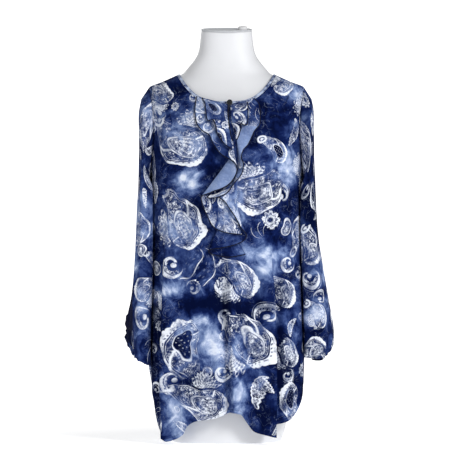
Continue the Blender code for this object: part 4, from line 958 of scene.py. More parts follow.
SLEEVE_LEFT_LARGE = [
    (PAISLEY, -17.6, 61.0, 15, 5.4, 0.8), (PAISLEY, -18.4, 47.6, 170, 5.6, 0.6),
    (PAISLEY, -19.0, 33.0, 20, 5.4, 0.4), (PAISLEY, -19.3, 21.5, 140, 4.6, 0.7),
]
SLEEVE_LEFT_SMALL = [
    (CURL, -18.0, 70.6, 30, 2.2, 0.4), (LEAF, -18.0, 54.6, 10, 2.8, 0.5),
    (DROP, -19.0, 41.6, 5, 2.2, 0.7), (CURL, -18.6, 27.6, 140, 2.4, 0.2),
]
SLEEVE_RIGHT_LARGE = [
    (PAISLEY, 18.6, 41.2, -25, 6.2, 0.7), (PAISLEY, 18.8, 53.2, 180, 5.0, 0.2),
    (PAISLEY, 21.0, 27.2, 10, 4.6, 0.6), (PAISLEY, 20.0, 20.6, 80, 5.2, 0.9),
]
SLEEVE_RIGHT_SMALL = [
    (LEAF, 18.1, 67.0, 5, 2.6, 0.4), (DROP, 18.6, 61.4, 0, 2.2, 0.3),
    (CURL, 18.4, 35.6, 60, 2.6, 0.6), (CURL, 20.6, 32.0, 200, 1.8, 0.1),
]
SLEEVE_LEFT_PATCHES = [
    # painted shade: the first patch darkens the sleeve's back part, low on its outer side, where it
    # shows beside the front part
    (-0.217, 0.27, 0.016, 0.085, -0.66), (-0.185, 0.70, 0.020, 0.040, -0.10),
    (-0.190, 0.52, 0.020, 0.030, 0.18), (-0.185, 0.36, 0.020, 0.030, -0.12),
]
SLEEVE_RIGHT_PATCHES = [
    (0.200, 0.378, 0.026, 0.026, 0.52), (0.190, 0.280, 0.026, 0.018, 0.42),
    (0.185, 0.620, 0.022, 0.10, -0.26), (0.205, 0.330, 0.030, 0.014, -0.34),
    (0.200, 0.245, 0.040, 0.012, -0.30), (0.200, 0.500, 0.030, 0.050, -0.14),
]
SLEEVE_CREASES_LEFT = [
    (0.020, 0.56, 0.028, 0.30, 0.004, 0.009, 0.0024),
    (-0.040, 0.66, -0.030, 0.42, 0.006, 0.012, 0.0026),
    (0.080, 0.62, 0.070, 0.36, 0.004, 0.012, 0.0024),
    (-0.090, 0.50, -0.085, 0.27, 0.004, 0.011, 0.0026),
    (0.120, 0.48, 0.125, 0.28, 0.003, 0.010, -0.0020),
]
SLEEVE_CREASES_RIGHT = [
    (0.010, 0.60, 0.018, 0.36, 0.004, 0.009, 0.0024),
    (-0.050, 0.58, -0.044, 0.32, 0.006, 0.012, 0.0026),
    (0.070, 0.66, 0.078, 0.40, 0.004, 0.012, 0.0024),
    (0.110, 0.52, 0.104, 0.27, 0.004, 0.011, 0.0026),
    (-0.110, 0.46, -0.115, 0.28, 0.003, 0.010, -0.0020),
]


def ring_between(rings, position):
    """The table's row at a row number, a whole one or one between two rows."""
    i = min(int(position), len(rings) - 2)
    u = position - i
    before = rings[i - 1] if i else 2.0 * rings[0] - rings[1]
    after = rings[i + 2] if i + 2 < len(rings) else 2.0 * rings[-1] - rings[-2]
    start, end = rings[i], rings[i + 1]
    return 0.5 * (2.0 * start + (end - before) * u
                  + (2.0 * before - 5.0 * start + 4.0 * end - after) * u * u
                  + (3.0 * start - before - 3.0 * end + after) * u ** 3)


def ring_points(side, ring, turns, waves):
    """A ring of the sleeve; turn is 90 degrees on its outer side and 0 at the front."""
    outer, outer_z, inner, inner_z, half_depth, middle_y, slant, dent, droop, gather = ring
    angle = np.radians(turns)
    out, forward = np.sin(angle), np.cos(angle)
    out = np.copysign(np.abs(out) ** 0.85, out)
    dented = np.exp(-((turns - 90.0) / 38.0) ** 2)
    wave = gather * np.sin(waves * angle)
    half_x, half_z = 0.5 * (outer - inner), 0.5 * (outer_z - inner_z)
    reach = 1.0 + wave / max(math.hypot(half_x, half_z), 0.012)
    x = 0.5 * (outer + inner) + half_x * out * reach - slant * forward - dent * dented
    hang = np.copysign(np.abs(forward) ** 2.2, forward)
    if side < 0.0:
        hang = np.where(forward > 0.0, smoothstep((forward - 0.35) / 0.5), hang)
    z = 0.5 * (outer_z + inner_z) + half_z * out - droop * hang
    y = middle_y - (half_depth + wave) * forward
    return np.stack([side * x, y, z], -1)


def tube_turns(columns):
    """Turns of a tube's columns, from its inner side round by the front."""
    return -90.0 + 360.0 * np.arange(columns) / columns


def tube_rings(side, rings, steps, turns, waves):
    return np.array([ring_points(side, ring_between(rings, step), turns, waves)
                     for step in steps])


def against_body(ring, side, turns):
    """The inner wall of a sleeve lies close along the curve of the body's side."""
    away = np.abs(ring[:, 1])
    inner_side = smoothstep((-np.sin(np.radians(turns)) + 0.05) / 0.45)
    close = smoothstep((0.080 - away) / 0.026) * inner_side
    below_armhole = smoothstep((0.600 - ring[:, 2]) / 0.05)
    x, y, z = ring.T
    body_x = smooth_table(BODY_SECTIONS, HALF_WIDTH, z)
    for _ in range(3):
        angle = np.degrees(np.arctan2(side * body_x, -y))
        point = body_surface(angle, z)
        body_x = np.abs(point[:, 0]) + (np.abs(point[:, 1]) - np.abs(y)) * 0.25
    target = side * (body_x + 0.0032)
    moved = x - close * below_armhole * side * np.maximum(side * (x - target), 0.0)
    return np.stack([moved, y, z], -1)


def tube_cut(grid, start):
    """Flat places on a closed tube: the way round it from its front, and the way down it."""
    around = grid.shape[1]
    ring = np.concatenate([grid, grid[:, :1]], 1)
    step = np.linalg.norm(np.diff(ring, axis=1), axis=-1)
    way = np.concatenate([np.zeros((len(grid), 1)), np.cumsum(step, 1)], 1)
    front = way[:, around // 4][:, None]
    down = np.linalg.norm(np.diff(grid, axis=0), axis=-1).mean(1)
    down = start - np.concatenate([[0.0], np.cumsum(down)])
    return np.stack([way - front, np.broadcast_to(down[:, None], way.shape)], -1)


def lay_on_sleeve(rows, grid, cut):
    """Turn places seen from the front (cm) into places on a sleeve's cut."""
    laid = lay_motifs(rows, grid[:, SEEN_COLUMNS], cut[:, SEEN_COLUMNS])
    front_height = grid[:, SLEEVE_COLUMNS // 4, 2]
    return [(kind, u, float(np.interp(-z, -front_height, cut[:, 0, 1])), turn, size, seed)
            for kind, u, z, turn, size, seed in laid]


def sleeve(name, side, rings, large_rows, small_rows, patches, creases, seed, node):
    """One sleeve: rings from the armhole to the cuff, its gathers and creases, and the print."""
    turns = tube_turns(SLEEVE_COLUMNS)
    steps = np.arange(0.0, len(rings) - 1 + 0.5 * SLEEVE_STEP, SLEEVE_STEP)
    hanging = tube_rings(side, rings, steps, turns, SLEEVE_GATHERS)
    hanging = np.array([against_body(ring, side, turns) for ring in hanging])
    first = armhole(side, turns) + np.array([side * SEAM_GAP * 1.6, 0.0, 0.0])
    shares = np.linspace(0.0, 1.0, 6)[:-1, None, None]
    grid = np.concatenate([first + (hanging[0] - first) * shares, hanging])
    cut = tube_cut(grid, SLEEVE_CUT_HIGH[1])
    normal = grid_normals(grid, closed=True) * -side
    u, v = cut[:, :-1, 0], cut[:, :-1, 1]
    row_share = np.linspace(0.0, 1.0, len(grid))[:, None]
    outward = smoothstep((turns + 30.0) / 60.0) * smoothstep((210.0 - turns) / 60.0)
    calm = smoothstep(row_share / 0.12) * smoothstep((1.0 - row_share) / 0.10) * outward[None, :]
    radiating = 0.0036 * np.sin(np.radians(turns) * 22.0 + seed)[None, :]
    radiating = radiating * (1.0 - 0.90 * np.exp(-((turns - 108.0) / 58.0) ** 2))[None, :]
    radiating = radiating * (0.2 + 0.8 * smoothstep((115.0 - turns) / 60.0))[None, :]
    gathered = smoothstep((row_share - 0.76) / 0.16) * smoothstep((1.0 - row_share) / 0.03)
    push = creased(u, v, creases) + 0.0008 * np.sin(u * 120.0 + seed + 2.0 * np.sin(v * 11.0))
    grid = grid + normal * (push * calm + radiating * gathered * outward)[..., None]
    quads, rr, cc = grid_quads(len(grid), SLEEVE_COLUMNS, closed=True, flip=side > 0.0)
    points = grid.reshape(-1, 3)
    large = lay_on_sleeve(large_rows, grid, cut)
    large += scatter(30, SLEEVE_CUT_LOW, SLEEVE_CUT_HIGH, [PAISLEY], (0.05, 0.085), seed, large,
                     0.85)
    small = lay_on_sleeve(small_rows, grid, cut)
    small += scatter(80, SLEEVE_CUT_LOW, SLEEVE_CUT_HIGH, [CURL, LEAF, ROSETTE, DROP, SPRAY],
                     (0.013, 0.026), seed + 5, small + half_sized(large), 0.95)
    tone = patch_tone(points[:, 0], points[:, 2], patches, EVEN_TONE)
    edge = np.full(len(points), FAR_FROM_HEM)
    return sew(name, points, quads, cut[rr, cc], tone, edge, large, small, node)


left_sleeve = sleeve("left_sleeve", -1.0, SLEEVE_LEFT, SLEEVE_LEFT_LARGE, SLEEVE_LEFT_SMALL,
                     SLEEVE_LEFT_PATCHES, SLEEVE_CREASES_LEFT, 31, "sleeve_left")
right_sleeve = sleeve("right_sleeve", 1.0, SLEEVE_RIGHT, SLEEVE_RIGHT_LARGE, SLEEVE_RIGHT_SMALL,
                      SLEEVE_RIGHT_PATCHES, SLEEVE_CREASES_RIGHT, 47, "sleeve_right")

# ---------------------------------------------------------------- cuffs
# A narrow casing of the same crepe at each wrist, with elastic inside that ruches it. Each
# goes on from its sleeve's gathered end, and the left one sits under the sleeve's puff.
CUFF_LEFT = np.array([
    (0.2220, 0.2346, 0.1992, 0.2136, 0.0555, 0.025, 0.003, 0.000, 0.010, 0.0004),
    (0.2245, 0.2285, 0.1995, 0.2070, 0.0570, 0.026, 0.003, 0.000, 0.010, 0.0014),
    (0.2235, 0.2225, 0.2020, 0.2020, 0.0550, 0.027, 0.003, 0.000, 0.010, 0.0010),
])
CUFF_RIGHT = np.array([
    (0.2126, 0.1983, 0.1864, 0.1973, 0.0555, 0.012, 0.000, 0.000, 0.000, 0.0004),
    (0.2140, 0.1890, 0.1860, 0.1880, 0.0575, 0.012, 0.000, 0.000, 0.000, 0.0014),
    (0.2110, 0.1785, 0.1885, 0.1785, 0.0545, 0.012, 0.000, 0.000, 0.000, 0.0010),
])
CUFF_RUCHES = 13
CUFF_COLUMNS = 156
CUFF_ROWS = 13
CUFF_FINE_RUCHES = 39.0
CUFF_FINE_DEPTH = 0.0005
CUFF_TONE = 0.10


def cuff(name, side, rings, seed, node):
    """One cuff: a short ruched tube, with a row of stitches near each edge."""
    turns = tube_turns(CUFF_COLUMNS)
    grid = tube_rings(side, rings, np.linspace(0.0, 2.0, CUFF_ROWS), turns, CUFF_RUCHES)
    normal = grid_normals(grid, closed=True) * -side
    across = np.sin(np.pi * np.linspace(0.0, 1.0, CUFF_ROWS))[:, None]
    fine = np.sin(np.radians(turns) * CUFF_FINE_RUCHES + seed)[None, :]
    grid = grid + normal * (CUFF_FINE_DEPTH * fine * across)[..., None]
    cut = tube_cut(grid, 0.10)
    quads, rr, cc = grid_quads(CUFF_ROWS, CUFF_COLUMNS, closed=True, flip=side > 0.0)
    points = grid.reshape(-1, 3)
    tone = np.full(len(points), CUFF_TONE)
    edge = np.abs(np.repeat(np.linspace(0.0, 0.012, CUFF_ROWS), CUFF_COLUMNS) - 0.006) + 0.004
    return sew(name, points, quads, cut[rr, cc], tone, edge, [], [], node)


left_cuff = cuff("left_cuff", -1.0, CUFF_LEFT, 3, "cuff_left")
right_cuff = cuff("right_cuff", 1.0, CUFF_RIGHT, 8, "cuff_right")

# ---------------------------------------------------------------- flounces
# Four spiral-cut flounces of the same crepe, sewn down either side of the slit: a long pair
# that falls in a cascade to below the bust, and a short pair over it. Their free edges are
# bound with a fine black rolled piping, and where they turn over, the pale reverse shows.
FLOUNCES_X = 0.0030
FLOUNCE_WALL = 0.0010
FLOUNCE_THICKNESS = 0.0008
ROWS_PER_LINE = 8
FLOUNCE_COLUMNS = 26
PRINT_OUTSIDE, TURNED_OVER, PRINT_BOTH_SIDES = 0, 2, 4      # first material of each pair
# root x, root z, root lift, edge x, edge z, edge lift, belly
FLOUNCE_LEFT_LONG = np.array([
    (0.0010, 0.7366, 0.0000, -0.0680, 0.7545, 0.0022, 0.0012),
    (0.0005, 0.7270, 0.0000, -0.0715, 0.7240, 0.0040, 0.0040),
    (0.0010, 0.7140, 0.0000, -0.0680, 0.6960, 0.0070, 0.0050),
    (0.0020, 0.7010, 0.0000, -0.0575, 0.6810, 0.0100, 0.0050),
    (0.0040, 0.6880, 0.0000, -0.0400, 0.6690, 0.0080, 0.0060),
    (0.0060, 0.6760, 0.0008, -0.0330, 0.6530, 0.0080, 0.0060),
    (0.0085, 0.6640, 0.0012, -0.0160, 0.6290, 0.0120, 0.0080),
    (0.0110, 0.6530, 0.0020, 0.0040, 0.6165, 0.0200, 0.0120),
    (0.0115, 0.6430, 0.0036, 0.0175, 0.6040, 0.0290, 0.0170),
    (0.0100, 0.6340, 0.0054, 0.0185, 0.5900, 0.0330, 0.0210),
    (0.0070, 0.6255, 0.0072, 0.0095, 0.5700, 0.0360, 0.0240),
    (0.0025, 0.6170, 0.0086, -0.0120, 0.5540, 0.0365, 0.0250),
    (-0.0030, 0.6090, 0.0094, -0.0375, 0.5450, 0.0345, 0.0240),
    (-0.0085, 0.6010, 0.0090, -0.0560, 0.5360, 0.0260, 0.0190),
    (-0.0110, 0.5920, 0.0076, -0.0550, 0.5200, 0.0160, 0.0125),
    (-0.0110, 0.5820, 0.0060, -0.0450, 0.4960, 0.0130, 0.0105),
    (-0.0090, 0.5710, 0.0050, -0.0310, 0.4710, 0.0130, 0.0100),
    (-0.0060, 0.5600, 0.0045, -0.0060, 0.4590, 0.0135, 0.0100),
    (-0.0030, 0.5490, 0.0040, 0.0300, 0.4540, 0.0140, 0.0105),
])
FLOUNCE_RIGHT_LONG = np.array([
    (0.0050, 0.7366, 0.0000, 0.0570, 0.7500, 0.0022, 0.0012),
    (0.0052, 0.7260, 0.0000, 0.0675, 0.7350, 0.0040, 0.0040),
    (0.0060, 0.7120, 0.0000, 0.0700, 0.7050, 0.0060, 0.0050),
    (0.0080, 0.6980, 0.0000, 0.0670, 0.6900, 0.0090, 0.0070),
    (0.0110, 0.6820, 0.0000, 0.0570, 0.6780, 0.0120, 0.0080),
    (0.0145, 0.6680, 0.0008, 0.0440, 0.6500, 0.0110, 0.0080),
    (0.0180, 0.6540, 0.0010, 0.0330, 0.6370, 0.0090, 0.0070),
    (0.0210, 0.6380, 0.0010, 0.0290, 0.6210, 0.0120, 0.0080),
    (0.0220, 0.6240, 0.0010, 0.0335, 0.6030, 0.0180, 0.0100),
    (0.0220, 0.6120, 0.0010, 0.0300, 0.5870, 0.0220, 0.0130),
    (0.0218, 0.6000, 0.0010, 0.0150, 0.5660, 0.0245, 0.0160),
    (0.0214, 0.5890, 0.0010, -0.0030, 0.5440, 0.0260, 0.0170),
    (0.0210, 0.5780, 0.0010, -0.0270, 0.5330, 0.0260, 0.0170),
    (0.0206, 0.5670, 0.0010, -0.0440, 0.5345, 0.0230, 0.0150),
    (0.0203, 0.5560, 0.0010, -0.0320, 0.5400, 0.0185, 0.0120),
    (0.0200, 0.5450, 0.0010, -0.0080, 0.5260, 0.0180, 0.0105),
    (0.0198, 0.5340, 0.0010, 0.0080, 0.5040, 0.0185, 0.0100),
    (0.0195, 0.5230, 0.0010, 0.0245, 0.4760, 0.0190, 0.0100),
    (0.0192, 0.5110, 0.0010, 0.0370, 0.4580, 0.0170, 0.0090),
    (0.0180, 0.4980, 0.0050, 0.0380, 0.4460, 0.0120, 0.0085),
    (0.0110, 0.4880, 0.0050, 0.0240, 0.4360, 0.0105, 0.0082),
    (-0.0040, 0.4800, 0.0050, -0.0060, 0.4270, 0.0100, 0.0080),
    (-0.0200, 0.4710, 0.0050, -0.0400, 0.4215, 0.0100, 0.0080),
    (-0.0190, 0.4590, 0.0010, -0.0340, 0.4120, 0.0042, 0.0028),
    (-0.0050, 0.4510, 0.0010, -0.0030, 0.4060, 0.0024, 0.0018),
    (0.0090, 0.4450, 0.0010, 0.0200, 0.4080, 0.0020, 0.0016),
    (0.0220, 0.4400, 0.0010, 0.0380, 0.4120, 0.0018, 0.0015),
])
FLOUNCE_LEFT_SHORT = np.array([
    (0.0005, 0.7358, 0.0026, -0.0560, 0.7510, 0.0046, 0.0040),
    (0.0000, 0.7270, 0.0026, -0.0500, 0.7400, 0.0078, 0.0070),
    (0.0000, 0.7160, 0.0026, -0.0480, 0.7230, 0.0095, 0.0085),
    (0.0010, 0.7060, 0.0026, -0.0440, 0.7020, 0.0130, 0.0095),
    (0.0020, 0.6960, 0.0026, -0.0305, 0.7000, 0.0180, 0.0105),
    (0.0035, 0.6860, 0.0026, -0.0245, 0.6800, 0.0150, 0.0100),
    (0.0050, 0.6760, 0.0028, -0.0215, 0.6680, 0.0135, 0.0100),
    (0.0070, 0.6660, 0.0038, -0.0060, 0.6490, 0.0155, 0.0115),
    (0.0095, 0.6560, 0.0056, 0.0090, 0.6370, 0.0190, 0.0145),
])
FLOUNCE_RIGHT_SHORT = np.array([
    (0.0056, 0.7358, 0.0026, 0.0425, 0.7415, 0.0046, 0.0040),
    (0.0056, 0.7270, 0.0026, 0.0430, 0.7200, 0.0085, 0.0075),
    (0.0062, 0.7160, 0.0026, 0.0430, 0.7040, 0.0105, 0.0085),
    (0.0076, 0.7050, 0.0026, 0.0400, 0.6910, 0.0140, 0.0095),
    (0.0096, 0.6950, 0.0026, 0.0285, 0.6930, 0.0175, 0.0100),
    (0.0116, 0.6850, 0.0026, 0.0275, 0.6800, 0.0165, 0.0105),
    (0.0140, 0.6750, 0.0028, 0.0190, 0.6580, 0.0170, 0.0110),
])
FLOUNCE_PATCHES = [(0.0, 0.425, 0.080, 0.030, -0.34), (-0.02, 0.585, 0.018, 0.030, 0.25),
                   (0.0, 0.500, 0.030, 0.030, 0.16)]
PIPING_BLACK = (0.0026, 0.0032, 0.010)
PIPING_RADIUS = 0.0011
PLACKET_LIFT = 0.0014


def front_surface_y(x, height):
    """Y of the front's outer surface, as seen from the front at x and a height."""
    return -depth_at(x, height, FRONT_DEPTH)


def flounce_grid(lines, columns=FLOUNCE_COLUMNS):
    """Points of a flounce from its sewn root to its free edge, lifted off the front."""
    across = np.linspace(0.0, 1.0, columns)
    grid = []
    for k in range((len(lines) - 1) * ROWS_PER_LINE + 1):
        root_x, root_z, root_lift, edge_x, edge_z, edge_lift, belly = ring_between(
            lines, k / ROWS_PER_LINE)
        x = FLOUNCES_X + root_x + (edge_x - root_x) * across
        z = root_z + (edge_z - root_z) * across
        lift = root_lift + (edge_lift - root_lift) * across
        lift = lift + (belly - 0.5 * (root_lift + edge_lift)) * 4.0 * across * (1.0 - across)
        grid.append(np.stack([x, front_surface_y(x, z) - SEAM_GAP - FLOUNCE_WALL - lift, z], -1))
    return np.array(grid)


def closed_piece(name, points, faces, material):
    """A closed surface of one material, with its faces turned outwards."""
    mesh = bpy.data.meshes.new(name)
    mesh.from_pydata(points.tolist(), [], faces)
    shell = bmesh.new()
    shell.from_mesh(mesh)
    bmesh.ops.recalc_face_normals(shell, faces=shell.faces[:])
    shell.to_mesh(mesh)
    shell.free()
    mesh.shade_smooth()
    mesh.materials.append(material)
    piece = bpy.data.objects.new(name, mesh)
    bpy.context.scene.collection.objects.link(piece)
    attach(piece, "root")
    return piece


def thread_tube(name, path, radius, material, sides=8):
    """A round cord of cloth or thread along a path, closed at both ends."""
    path = np.asarray(path)
    way = np.gradient(path, axis=0)
    way /= np.linalg.norm(way, axis=1, keepdims=True)
    side = np.cross(way, (0.0, -1.0, 0.0))
    length = np.linalg.norm(side, axis=1, keepdims=True)
    side = np.where(length > 0.05, side / np.maximum(length, 1e-9), (1.0, 0.0, 0.0))
    up = np.cross(side, way)
    turns = 2.0 * np.pi * np.arange(sides) / sides
    rows = np.array([p + radius * (np.cos(turns)[:, None] * s + np.sin(turns)[:, None] * n)
                     for p, s, n in zip(path, side, up)])
    quads = grid_quads(len(rows), sides, closed=True)[0]
    points = np.concatenate([rows.reshape(-1, 3), [path[0], path[-1]]])
    last = len(rows) * sides
    caps = [(last, (k + 1) % sides, k) for k in range(sides)]
    caps += [(last + 1, last - sides + k, last - sides + (k + 1) % sides) for k in range(sides)]
    return closed_piece(name, points, quads.tolist() + caps, material)


def rolled_piping(name):
    material, tree, shader, place = new_material(name, 0.5, specular=0.15)
    mottle = noise_mark(tree, place, 400.0, 2.0)
    stops = [(0.35, PIPING_BLACK), (0.75, tuple(2.4 * part for part in PIPING_BLACK))]
    tree.links.new(colour_ramp(tree, mottle, stops), shader.inputs["Base Color"])
    bump_from(tree, shader, noise_mark(tree, place, 1800.0, 2.0), 0.0002, 0.6)
    return material


piping_cloth = rolled_piping("rolled_piping")


def flounce(name, lines, side, seed, node, flutes, patches, base_tone, turned=(), both=(),
            printed=1.0):
    """One flounce, fluted towards its free edge, with its piping."""
    grid = flounce_grid(lines)
    normal = grid_normals(grid) * -side
    rows = len(grid)
    across = np.linspace(0.0, 1.0, FLOUNCE_COLUMNS)[None, :]
    down = np.linspace(0.0, 1.0, rows)[:, None]
    ends = smoothstep(down / 0.08) * smoothstep((1.0 - down) / 0.08)
    wave = 0.0010 * across ** 2 * np.sin(down * flutes + seed) * ends
    grid = grid + normal * wave[..., None]
    step = np.linalg.norm(np.diff(grid, axis=1), axis=-1)
    u = np.concatenate([np.zeros((rows, 1)), np.cumsum(step, 1)], 1)
    run = np.linalg.norm(np.diff(grid[:, FLOUNCE_COLUMNS // 2], axis=0), axis=-1)
    v = np.concatenate([[0.0], np.cumsum(run)])
    cut = np.stack([u, np.broadcast_to(v[:, None], u.shape)], -1)
    quads, rr, cc = grid_quads(rows, FLOUNCE_COLUMNS, flip=side > 0.0)
    points = grid.reshape(-1, 3)
    high = (float(u.max()), float(v.max()) * printed)
    large = scatter(10, (0.0, 0.0), high, [PAISLEY], (0.035, 0.055), seed, (), 0.85)
    small = scatter(50, (0.0, 0.0), high, [CURL, LEAF, ROSETTE, SPRAY], (0.010, 0.020), seed + 1,
                    half_sized(large), 0.9)
    tone = patch_tone(points[:, 0], points[:, 2], patches, base_tone)
    edge = np.full(len(points), FAR_FROM_HEM)
    line, share = rr.mean(1) / ROWS_PER_LINE, cc.mean(1) / (FLOUNCE_COLUMNS - 1)
    faces = np.full(len(quads), PRINT_OUTSIDE)
    for kind, spans in ((PRINT_BOTH_SIDES, both), (TURNED_OVER, turned)):
        for first, last, start in spans:
            faces[(line > first) & (line < last) & (share > start)] = kind
    piece = sew(name, points, quads, cut[rr, cc], tone, edge, large, small, node,
                (front_crepe, crepe_back, crepe_back, front_crepe, front_crepe, front_crepe),
                FLOUNCE_THICKNESS, 0.0, faces)
    piping = thread_tube(name + "_piping", grid[:, -1], PIPING_RADIUS, piping_cloth)
    return piece, piping


left_long, left_long_piping = flounce("left_long_flounce", FLOUNCE_LEFT_LONG, -1.0, 61,
                                      "flounce_left_long", 70.0, [], 0.44)
right_long, right_long_piping = flounce("right_long_flounce", FLOUNCE_RIGHT_LONG, 1.0, 67,
                                        "flounce_right_long", 90.0, FLOUNCE_PATCHES, 0.46,
                                        turned=[(3.2, 8.5, 0.15)], both=[(8.5, 27.0, -1.0)],
                                        printed=0.62)
left_short, left_short_piping = flounce("left_short_flounce", FLOUNCE_LEFT_SHORT, -1.0, 71,
                                        "flounce_left_short", 40.0, [], 0.40)
right_short, right_short_piping = flounce("right_short_flounce", FLOUNCE_RIGHT_SHORT, 1.0, 79,
                                          "flounce_right_short", 34.0, [], 0.40)
placket_path = flounce_grid(FLOUNCE_LEFT_SHORT, 2)[:, 0] - (0.0, PLACKET_LIFT, 0.0)
placket_piping = thread_tube("placket_piping", placket_path, PIPING_RADIUS, piping_cloth)

# ---------------------------------------------------------------- neck binding
# A bias strip of a paler part of the cloth, folded round the raw neckline and stitched
# through; its two ends meet at the slit.
BINDING_PALE = (0.480, 0.560, 0.740)
BINDING_BLUE = (0.030, 0.052, 0.160)
# way up from the outer to the inner line as a share of it, and way out as a share of the wall
BINDING_PROFILE = [
    (0.0, -0.80), (-0.02, -0.1), (0.06, 0.12), (0.30, 0.20), (0.62, 0.20), (0.85, 0.06),
    (0.97, -0.22), (1.0, -0.45), (0.95, -0.62), (0.75, -0.80), (0.4, -0.85),
]


def binding_crepe(name):
    material, tree, shader, place = new_material(name, 0.62, specular=0.22, sheen=0.06)
    clouds = noise_mark(tree, place, 55.0, 4.0, 0.6, 0.8)
    clouds = clouds + (noise_mark(tree, place, 300.0) - 0.5) * 0.4
    stops = [(0.38, BINDING_BLUE), (0.60, BINDING_PALE)]
    tree.links.new(colour_ramp(tree, clouds, stops), shader.inputs["Base Color"])
    bump_from(tree, shader, noise_mark(tree, place, 1500.0, 2.0), 0.0003, 0.5)
    return material


def neck_strip(name):
    """The strip from the slit's right edge round the back of the neck to its left edge."""
    stretches = [(np.linspace(SLIT_ANGLE, NECK_ANGLE, 40), False),
                 (np.linspace(NECK_ANGLE, -NECK_ANGLE, 80)[1:-1], True),
                 (np.linspace(-NECK_ANGLE, SLIT_ANGLE, 44), False)]
    outer = np.concatenate([neckline(angle, back, BINDING_HEIGHT) for angle, back in stretches])
    inner = np.concatenate([neckline(angle, back) for angle, back in stretches])
    for line in (outer, inner):
        line[0, 0] += SLIT_HALF_WIDTH
        line[-1, 0] -= SLIT_HALF_WIDTH
    along = np.gradient(outer, axis=0)
    up = inner - outer
    facing = np.cross(along, up)
    outward = np.concatenate([outer[:, :2], np.zeros((len(outer), 1))], 1)
    facing *= np.sign((facing * outward).sum(1))[:, None]
    facing /= np.linalg.norm(facing, axis=1, keepdims=True)
    rows = np.stack([outer + up * rise + facing * out * BINDING_WALL
                     for rise, out in BINDING_PROFILE], 1)
    sides = len(BINDING_PROFILE)
    quads = grid_quads(len(rows), sides, closed=True)[0]
    last = len(rows) * sides
    caps = [list(range(sides))[::-1], list(range(last - sides, last))]
    return closed_piece(name, rows.reshape(-1, 3), quads.tolist() + caps,
                        binding_crepe("binding_crepe"))


binding = neck_strip("neck_strip")
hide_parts("neck_binding")

# ---------------------------------------------------------------- button and its loop
# A small black domed button on a shank at the top of the slit's right edge, and a black cord
# loop from the left edge that is caught round the shank.
BUTTON_RADIUS = 0.0062
BUTTON_THICKNESS = 0.0034
BUTTON_SHANK_RADIUS = 0.0012
BUTTON_SHANK_LENGTH = 0.0058
LOOP_CORD_RADIUS = 0.0006
LOOP_LIFT = 0.0014
LOOP_REACH = 0.0050
GLOSS_DARK, GLOSS_LIT = (0.004, 0.004, 0.006), (0.012, 0.012, 0.016)
DOME_STEPS = ((0.0012, 0.0), (0.0016, -0.0002), (0.0016, -0.0001))      # inset, move along Y
BUTTON_ROUNDING = 0.0009


def black_gloss(name, roughness):
    material, tree, shader, place = new_material(name, roughness, specular=0.5, coat=0.3)
    stops = [(0.3, GLOSS_DARK), (0.7, GLOSS_LIT)]
    colour = colour_ramp(tree, noise_mark(tree, place, 240.0), stops)
    tree.links.new(colour, shader.inputs["Base Color"])
    worn = noise_mark(tree, place, 700.0) * 0.15 + (roughness - 0.07)
    tree.links.new(worn.socket, shader.inputs["Roughness"])
    return material


def select_facing(mesh, side):
    """Select only the faces that look backwards (side 1) or forwards (side -1)."""
    bpy.ops.mesh.select_all(action="DESELECT")
    shell = bmesh.from_edit_mesh(mesh)
    for face in shell.faces:
        face.select_set(side * face.normal.y > 0.9)
    bmesh.update_edit_mesh(mesh)


seat = neckline(np.array([SLIT_ANGLE]), False, 0.5 * BINDING_HEIGHT)[0]
seat[1] -= 4.0 * SEAM_GAP
bpy.ops.object.select_all(action="DESELECT")
button_y = seat[1] - BUTTON_SHANK_LENGTH - 0.5 * BUTTON_THICKNESS
bpy.ops.mesh.primitive_cylinder_add(vertices=40, radius=BUTTON_RADIUS, depth=BUTTON_THICKNESS,
                                    location=(seat[0], button_y, seat[2]),
                                    rotation=(math.pi / 2, 0, 0))
button = bpy.context.object
button.name = "black_button"
bpy.ops.object.transform_apply(location=True, rotation=True, scale=True)
bpy.ops.object.mode_set(mode="EDIT")
select_facing(button.data, -1.0)
for inset, rise in DOME_STEPS:
    bpy.ops.mesh.inset(thickness=inset)
    bpy.ops.transform.translate(value=(0.0, rise, 0.0))
select_facing(button.data, 1.0)
bpy.ops.mesh.inset(thickness=BUTTON_RADIUS - BUTTON_SHANK_RADIUS)
shank = {"value": (0.0, BUTTON_SHANK_LENGTH, 0.0)}
bpy.ops.mesh.extrude_region_move(TRANSFORM_OT_translate=shank)
bpy.ops.object.mode_set(mode="OBJECT")
round_edges = button.modifiers.new("round_edges", "BEVEL")
round_edges.width = BUTTON_ROUNDING
round_edges.segments = 4
round_edges.limit_method = "ANGLE"
bpy.ops.object.modifier_apply(modifier="round_edges")
bpy.ops.object.shade_smooth_by_angle(angle=math.radians(40.0))
button.data.materials.append(black_gloss("black_gloss", 0.22))
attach(button, "root")
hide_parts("button")

reach = BUTTON_SHANK_RADIUS + LOOP_CORD_RADIUS + 0.0006
bend = np.radians(np.linspace(-90.0, 90.0, 19))
straight = np.linspace(-LOOP_REACH, 0.0, 8)[:-1]
back_again = np.linspace(0.0, -LOOP_REACH, 8)[1:]
loop_x = seat[0] + np.concatenate([straight, reach * np.cos(bend), back_again])
loop_z = seat[2] + np.concatenate([np.full(7, -reach), reach * np.sin(bend), np.full(7, reach)])
loop_path = np.stack([loop_x, front_surface_y(loop_x, loop_z) - LOOP_LIFT, loop_z], -1)
button_loop = thread_tube("cord_loop", loop_path, LOOP_CORD_RADIUS, piping_cloth)
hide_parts("button_loop")

# ---------------------------------------------------------------- studio
# A plain pale floor inside a wide round white backdrop that only the camera sees, so that the
# tunic stands in front of white from every side, and broad soft lights, the strongest from
# the front's upper right.
FLOOR_WHITE = (0.93, 0.935, 0.94)
FLOOR_RADIUS = 2.4
BACKDROP_RADIUS = 9.0
SURFACE_SIDES = 96
FLOOR_GLOW, BACKDROP_STRENGTH = 0.54, 1.1
SURROUNDINGS_STRENGTH = 0.28


